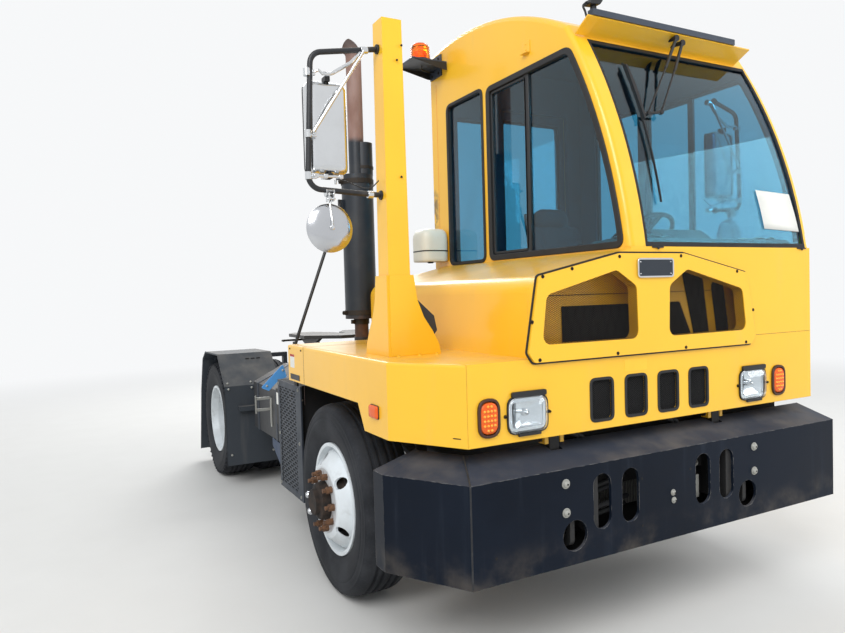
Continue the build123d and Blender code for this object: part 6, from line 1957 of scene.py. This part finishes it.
def side_tank():
    x, y = -0.221, 0.55
    tank = Shape()
    levels = [
        (1.822, 0.95), (1.828, 0.99), (1.84, 1.0), (1.8855, 1.0), (1.887, 0.975), (1.894, 0.975),
        (1.8955, 1.0),
    ]
    levels += [(1.975, 1.0), (2.0, 0.975), (2.02, 0.9), (2.033, 0.76), (2.0385, 0.55), (2.04, 0.25)]
    outline = box_outline(0, 0, 0.198, 0.198, 0.06)
    tank.rings([[(x + u * share, y + v * share, z) for u, v in outline] for z, share in levels])
    tank.put("side_tank_shell", "cab", "tank_plastic", smooth=50, replaces=("side_tank",))
    strap = Shape()
    ring = box_outline(x, y, 0.199, 0.199, 0.061)
    strap.rings([[(u, v, 1.8875) for u, v in ring], [(u, v, 1.8935) for u, v in ring]])
    strap.lathe(((0.0, 0.02), (0.008, 0.02), (0.01, 0.016)), (x, y, 1.8225), DOWN, 20)
    strap.box((-0.124, -0.1195), (0.49, 0.61), (1.86, 1.96))
    strap.put("side_tank_strap", "cab", "black_plastic")


# Chassis: what the sides, the back and the top show
def tank_fittings():
    straps = Shape()
    fuel = box_outline(0.8, 0.64, 0.567, 0.467, 0.113)
    for y in (1.27, 1.64):
        straps.band(fuel, 0.0032, "y", y, 0.045)
    oil = inwards(
        [(-1.06, 0.56), (-0.56, 0.56), (-0.56, 1.06), (-0.8, 1.06), (-1.06, 0.93)], -0.0035
    )
    for y in (1.42, 1.94):
        straps.band(oil, 0.0032, "y", y, 0.045)
    straps.put("tank_straps", "chassis", "guard_grey")
    caps = Shape()
    for x, y, z, r in (
        (0.905, 1.455, 0.868, 0.045), (-0.69, 1.56, 1.0605, 0.04), (-0.69, 1.86, 1.0605, 0.024),
    ):
        section = [
            (0.0, r + 0.01), (0.004, r + 0.01), (0.005, r - 0.006), (0.018, r - 0.006), (0.019, r),
            (0.038, r), (0.042, r - 0.006),
        ]
        caps.lathe(section, (x, y, z), UP, 32)
    caps.put("tank_caps", "chassis", "black_plastic", smooth=30)
    gauge = Shape()
    gauge.box((-1.0665, -1.0603), (1.56, 1.59), (0.64, 0.86))
    gauge.box((-1.07, -1.0665), (1.568, 1.582), (0.665, 0.835))
    gauge.put("tank_gauge", "chassis", "worn_zinc", round_by=0.001)
    air = Shape()
    x, z, low, high = 0.56, 0.74, 1.88, 2.25
    cap = ((0.0, 0.03), (0.012, 0.07), (0.035, 0.098), (0.06, 0.105))
    section = [(low + a, r) for a, r in cap] + [(high - a, r) for a, r in cap[::-1]]
    air.lathe(section, (x, 0.0, z), BACK, 32)
    for start in (low + 0.09, high - 0.12):
        end = start + 0.03
        hoop = ((start, 0.1055), (start, 0.1085), (end, 0.1085), (end, 0.1055))
        air.lathe(hoop, (x, 0.0, z), BACK, 32, closed=True)
        air.box((0.4305, x - 0.06), (start, end), (0.8, 0.835))
    drain = ((0.0, 0.01), (0.02, 0.01), (0.022, 0.006), (0.03, 0.006))
    air.lathe(drain, (x, low + 0.18, 0.636), DOWN, 8)
    air.put("air_tank", "chassis", "chassis_black", smooth=35)


def tread_plate():
    """Raised bars of tread plate on the platform and the steps."""
    zones = (
        ((-0.545, 1.135), (0.755, 1.115), 0.9305), ((0.845, 1.135), (0.785, 1.085), 0.3685),
        ((0.845, 1.135), (0.785, 1.085), 0.6485),
    )
    points, spins = [], []
    for (x0, x1), (y0, y1), z in zones:
        for i in range(int((x1 - x0) / 0.034)):
            for j in range(int((y1 - y0) / 0.034)):
                points.append((x0 + 0.017 + 0.034 * i, y0 + 0.017 + 0.034 * j, z))
                spins.append(math.radians(45 if (i + j) % 2 else -45))
    set_blocks(
        "tread_plate_bars", points, "chassis", "chassis_black", UP, (0.026, 0.0055, 0.0022), spins
    )
    edge = Shape()
    for z in (0.34, 0.62):
        edge.box((1.1503, 1.156), (0.77, 1.1), (z - 0.004, z + 0.03))
    edge.put("step_edges", "chassis", "worn_zinc", round_by=0.0015)


def frame_bolts():
    points, ways = [], []
    for y in (-0.94, 0.9, 1.35, 2.09, 2.3, 2.62, WHEELBASE, 3.28, 3.42, 3.7):
        for z in (0.685, 0.855):
            for side in (-1, 1):
                for shift in (-0.028, 0.028):
                    points.append((side * 0.43, y + shift, z))
                    ways.append((side, 0, 0))
    set_bolts("frame_bolts", points, "chassis", "dark_bolt", ways, 0.011, 0.009, 0.016, 0.006)


def springs_and_axles():
    packs = Shape()
    for side in (-1, 1):
        for y in (-0.052, 0.052):
            x0, x1 = side * 0.384, side * 0.476
            packs.tube(
                [(x0, y, 0.405), (x0, y, 0.56), (x1, y, 0.56), (x1, y, 0.405)], 0.0085, 0.022
            )
        packs.box(sorted((side * 0.374, side * 0.486)), (-0.075, 0.075), (0.5535, 0.565))
        for y in (-0.3, 0.3):
            packs.box(sorted((side * 0.386, side * 0.474)), (y - 0.014, y + 0.014), (0.5, 0.566))
    packs.put("spring_clamps", "chassis", "dark_bolt", round_by=0.002)
    shocks = Shape()
    for side in (-1, 1):
        low, high = Vector((side * 0.52, 0.16, 0.5)), Vector((side * 0.48, 0.3, 0.86))
        shocks.bar(low, low.lerp(high, 0.55), 0.034, 24)
        shocks.bar(low.lerp(high, 0.45), high, 0.027, 24)
        shocks.bar(
            high + Vector((-side * 0.05, 0, 0)), high + Vector((side * 0.03, 0, 0)), 0.016, 16
        )
        shocks.bar(low + Vector((-side * 0.02, 0, 0)), low + Vector((side * 0.02, 0, 0)), 0.02, 16)
        shocks.box(sorted((side * 0.43, side * 0.545)), (0.12, 0.185), (0.47, 0.5))
    shocks.put("shock_absorbers", "chassis", "chassis_black", smooth=35)
    chambers = Shape()
    for side in (-1, 1):
        section = [
            (0.0, 0.03), (0.004, 0.066), (0.03, 0.078), (0.052, 0.08), (0.053, 0.087),
            (0.066, 0.087),
        ]
        section += [
            (0.067, 0.08), (0.1, 0.078), (0.12, 0.07), (0.15, 0.068), (0.17, 0.05), (0.172, 0.02),
        ]
        chambers.lathe(section, (side * 0.4, 3.115, 0.56), (0, 1, 0.15), 32)
        chambers.bar((side * 0.4, 3.115, 0.56), (side * 0.4, 3.04, 0.545), 0.011)
        chambers.box(sorted((side * 0.35, side * 0.45)), (3.088, 3.112), (0.49, 0.62))
        chambers.tube(
            [
                (side * 0.4, 3.235, 0.65), (side * 0.38, 3.24, 0.72), (side * 0.34, 3.18, 0.78),
                (side * 0.3, 3.05, 0.8),
            ],
            0.008, 0.04,
        )
    chambers.put("brake_chambers", "chassis", "chassis_black", smooth=35)


def rear_end():
    rear_y = 3.7535
    lamps, rims = Shape(), Shape()
    dome = ((0.0, 0.052), (0.016, 0.052), (0.022, 0.046), (0.026, 0.03), (0.027, 0.006))
    rim = ((0.0, 0.053), (0.0, 0.06), (0.008, 0.06), (0.012, 0.053))
    for x in (-0.2, -0.33, 0.2, 0.33):
        lamps.lathe(dome, (x, rear_y + 0.002, 0.72), BACK, 32)
        rims.lathe(rim, (x, rear_y, 0.72), BACK, 32, closed=True)
    lamps.put("tail_lamps", "chassis", "lamp_red", smooth=40)
    rims.put("tail_lamp_rims", "chassis", "seal_rubber")
    plate = Shape()
    plate.prism(box_outline(0.0, 0.655, 0.2, 0.1, 0.008), "y", (rear_y + 0.001, rear_y + 0.003))
    plate.put("rear_blank_plate", "chassis", "blank_label", round_by=0.0008)
    hooks = Shape()
    for side in (-1, 1):
        x = side * 0.095
        hooks.tube(
            [
                (x - 0.02, rear_y, 0.83), (x - 0.02, rear_y + 0.04, 0.83),
                (x + 0.02, rear_y + 0.04, 0.83), (x + 0.02, rear_y, 0.83),
            ],
            0.007, 0.018,
        )
    hooks.put("rear_chain_eyes", "chassis", "dark_bolt")
    heads = [(x, rear_y, z) for x in (-0.405, 0.405) for z in (0.6, 0.86)]
    set_bolts("rear_member_bolts", heads, "chassis", "dark_bolt", BACK, 0.011, 0.009, 0.016)


def cab_back():
    """The rear door's handle, the grab rail beside it and the hose stand on the platform."""
    handle = Shape()
    handle.tube(
        [(0.45, 0.694, 2.02), (0.45, 0.735, 2.02), (0.45, 0.735, 2.2), (0.45, 0.694, 2.2)], 0.009,
        0.02,
    )
    handle.box((0.43, 0.472), (0.6945, 0.702), (1.985, 2.235))
    handle.put("rear_door_handle", "rear_door", "black_plastic", round_by=0.002)
    rail = Shape()
    rail.tube(
        [(1.15, 0.66, 1.48), (1.15, 0.735, 1.48), (1.15, 0.735, 2.42), (1.15, 0.66, 2.42)], 0.014,
        0.04, steps=14,
    )
    for z in (1.48, 2.42):
        rail.lathe(((0.0, 0.028), (0.005, 0.028), (0.007, 0.02)), (1.15, 0.6602, z), BACK, 20)
    rail.put("rear_grab_rail", "cab", "black_plastic", smooth=50)
    louvres = [(0.74, 0.6945, 1.29 + 0.026 * i) for i in range(9)]
    set_blocks(
        "rear_door_louvres", louvres, "rear_door", "yellow_enamel", BACK, (0.36, 0.01, 0.012)
    )
    stand = Shape()
    stand.box((-0.42, -0.38), (0.775, 0.815), (0.93, 1.26))
    stand.box((-0.5, -0.3), (0.775, 0.785), (1.16, 1.25))
    stand.put("hose_stand", "chassis", "chassis_black", round_by=0.003)
    for name, x, finish in (("supply", -0.455, "lamp_red"), ("service", -0.345, "cover_blue")):
        hand = Shape()
        hand.lathe(
            (
                (0.0, 0.026), (0.012, 0.026), (0.014, 0.02), (0.034, 0.02), (0.036, 0.03),
                (0.046, 0.03), (0.048, 0.022),
            ),
            (x, 0.785, 1.205), BACK, 24,
        )
        hand.box((x - 0.01, x + 0.03), (0.822, 0.836), (1.17, 1.19))
        hand.put(f"hose_coupling_{name}", "chassis", finish, smooth=30)
    socket = Shape()
    socket.lathe(
        ((0.0, 0.024), (0.028, 0.024), (0.029, 0.019), (0.012, 0.018)), (-0.4, 0.785, 1.165), BACK,
        24,
    )
    socket.put("power_socket", "chassis", "black_plastic")


def fifth_wheel_details():
    y, z = 2.8, 1.25
    jaw = Shape()
    jaw.tube([(-0.3, y + 0.3, 1.185), (-0.455, y + 0.3, 1.185), (-0.5, y + 0.3, 1.185)], 0.01)
    jaw.tube(
        [(-0.5, y + 0.3, 1.185), (-0.52, y + 0.3, 1.185), (-0.52, y + 0.24, 1.185)], 0.01, 0.02
    )
    jaw.put("release_handle", "fifth_wheel", "dark_bolt")
    nipples = [(x, y + d, z) for x in (-0.3, 0.3) for d in (-0.22, 0.12)]
    set_dots("grease_nipples", nipples, "fifth_wheel", "worn_zinc", UP, 0.006)


for build in (
    grilles, badge_plate, headlamps, turn_lamps, beacon, cab_seals, wiper, tyres, nut_covers,
    mirrors, bumper_fittings, front_underside, body_trim, post_fittings, mirror_arm_fittings,
    exhaust_fittings, guard, rear_fender_fittings, seat, dash, roof_details, side_tank,
    tank_fittings, tread_plate, frame_bolts, springs_and_axles, rear_end, cab_back,
    fifth_wheel_details,
):
    build()


# Camera, where the photograph's view was solved, and the studio
CAMERA_PLACE, CAMERA_TURN = (-2.4133, -3.4528, 1.6123), (0.4868, -0.0342, -0.0286)
FOCAL_PIXELS, PICTURE_PIXELS, SENSOR = 677.05, 845.0, 36.0
HAZE = (0.93, 0.94, 0.95)
# Area lamps.  Name, place, target, size, power
LAMPS = (
    ("key", (-6.0, -7.0, 7.5), (0.0, -0.5, 1.2), (5.0, 5.0), 620),
    ("fill", (7.0, -6.0, 4.5), (0.0, 0.0, 1.2), (5.0, 4.0), 420),
    ("back", (2.0, 8.0, 7.0), (0.0, 0.5, 1.5), (6.0, 4.0), 520),
)


def add_camera():
    yaw, pitch, roll = CAMERA_TURN
    flat = math.cos(pitch)
    forward = Vector((math.sin(yaw) * flat, math.cos(yaw) * flat, math.sin(pitch)))
    level = Vector((math.cos(yaw), -math.sin(yaw), 0.0))
    upright = level.cross(forward)
    right = level * math.cos(roll) + upright * math.sin(roll)
    up = upright * math.cos(roll) - level * math.sin(roll)
    camera = add_object("camera", bpy.data.cameras.new("camera"))
    camera.data.sensor_width = SENSOR
    camera.data.lens = SENSOR * FOCAL_PIXELS / PICTURE_PIXELS
    camera.data.clip_start = 0.05
    turn = Matrix((right, up, -forward)).transposed().to_4x4()
    camera.matrix_world = Matrix.Translation(Vector(CAMERA_PLACE) + FRONT_AXLE) @ turn
    scene.camera = camera


def add_lamps():
    for name, place, target, size, power in LAMPS:
        lamp = add_object(name, bpy.data.lights.new(name, "AREA"))
        lamp.data.shape = "RECTANGLE"
        lamp.data.size, lamp.data.size_y = size
        lamp.data.energy = power
        lamp.location = place
        way = Vector(target) - Vector(place)
        lamp.rotation_euler = way.to_track_quat("-Z", "Y").to_euler()
        lamp.visible_glossy = name != "fill"


def add_world():
    """A pale backdrop for what the camera sees, and a softer light from it."""
    scene.world = bpy.data.worlds.new("studio")
    scene.world.use_nodes = True
    world = Nodes(scene.world.node_tree)
    soft = world.node("ShaderNodeBackground", ((0.92, 0.96, 1.0), 0.75))
    pale = world.node("ShaderNodeBackground", (HAZE, 1.0))
    camera, through, glossy = (
        world.node("ShaderNodeLightPath", out=f"Is {ray} Ray")
        for ray in ("Camera", "Transmission", "Glossy")
    )
    both = world.node("ShaderNodeMixShader", (camera.most(through).most(glossy), soft, pale))
    world.feed(world.tree.nodes["World Output"].inputs[0], both)


def add_floor():
    """A pale floor that fades into the backdrop."""
    floor = add_object("floor", bpy.data.meshes.new("floor"))
    corners = [(u, v, 0) for u, v in rectangle((-40, -40), (40, 40))]
    floor.data.from_pydata(corners, [], [(0, 1, 2, 3)])
    ground = Finish("studio_floor", roughness=0.85)
    cloud = ground.noise(3.0, 5.0) * 0.25
    ground.set("base color", ground.mix(cloud, srgb(214, 213, 210), srgb(190, 188, 184)))
    x, y = ground.height(0), ground.height(1)
    far = ground.band((x * x + y * y) ** 0.5, 5.0, 13.0)
    ground.blend(far, ground.node("ShaderNodeEmission", (HAZE, 1.0)))
    floor.data.materials.append(ground.material)


add_camera()
add_world()
add_lamps()
add_floor()
scene.view_settings.view_transform = "Standard"
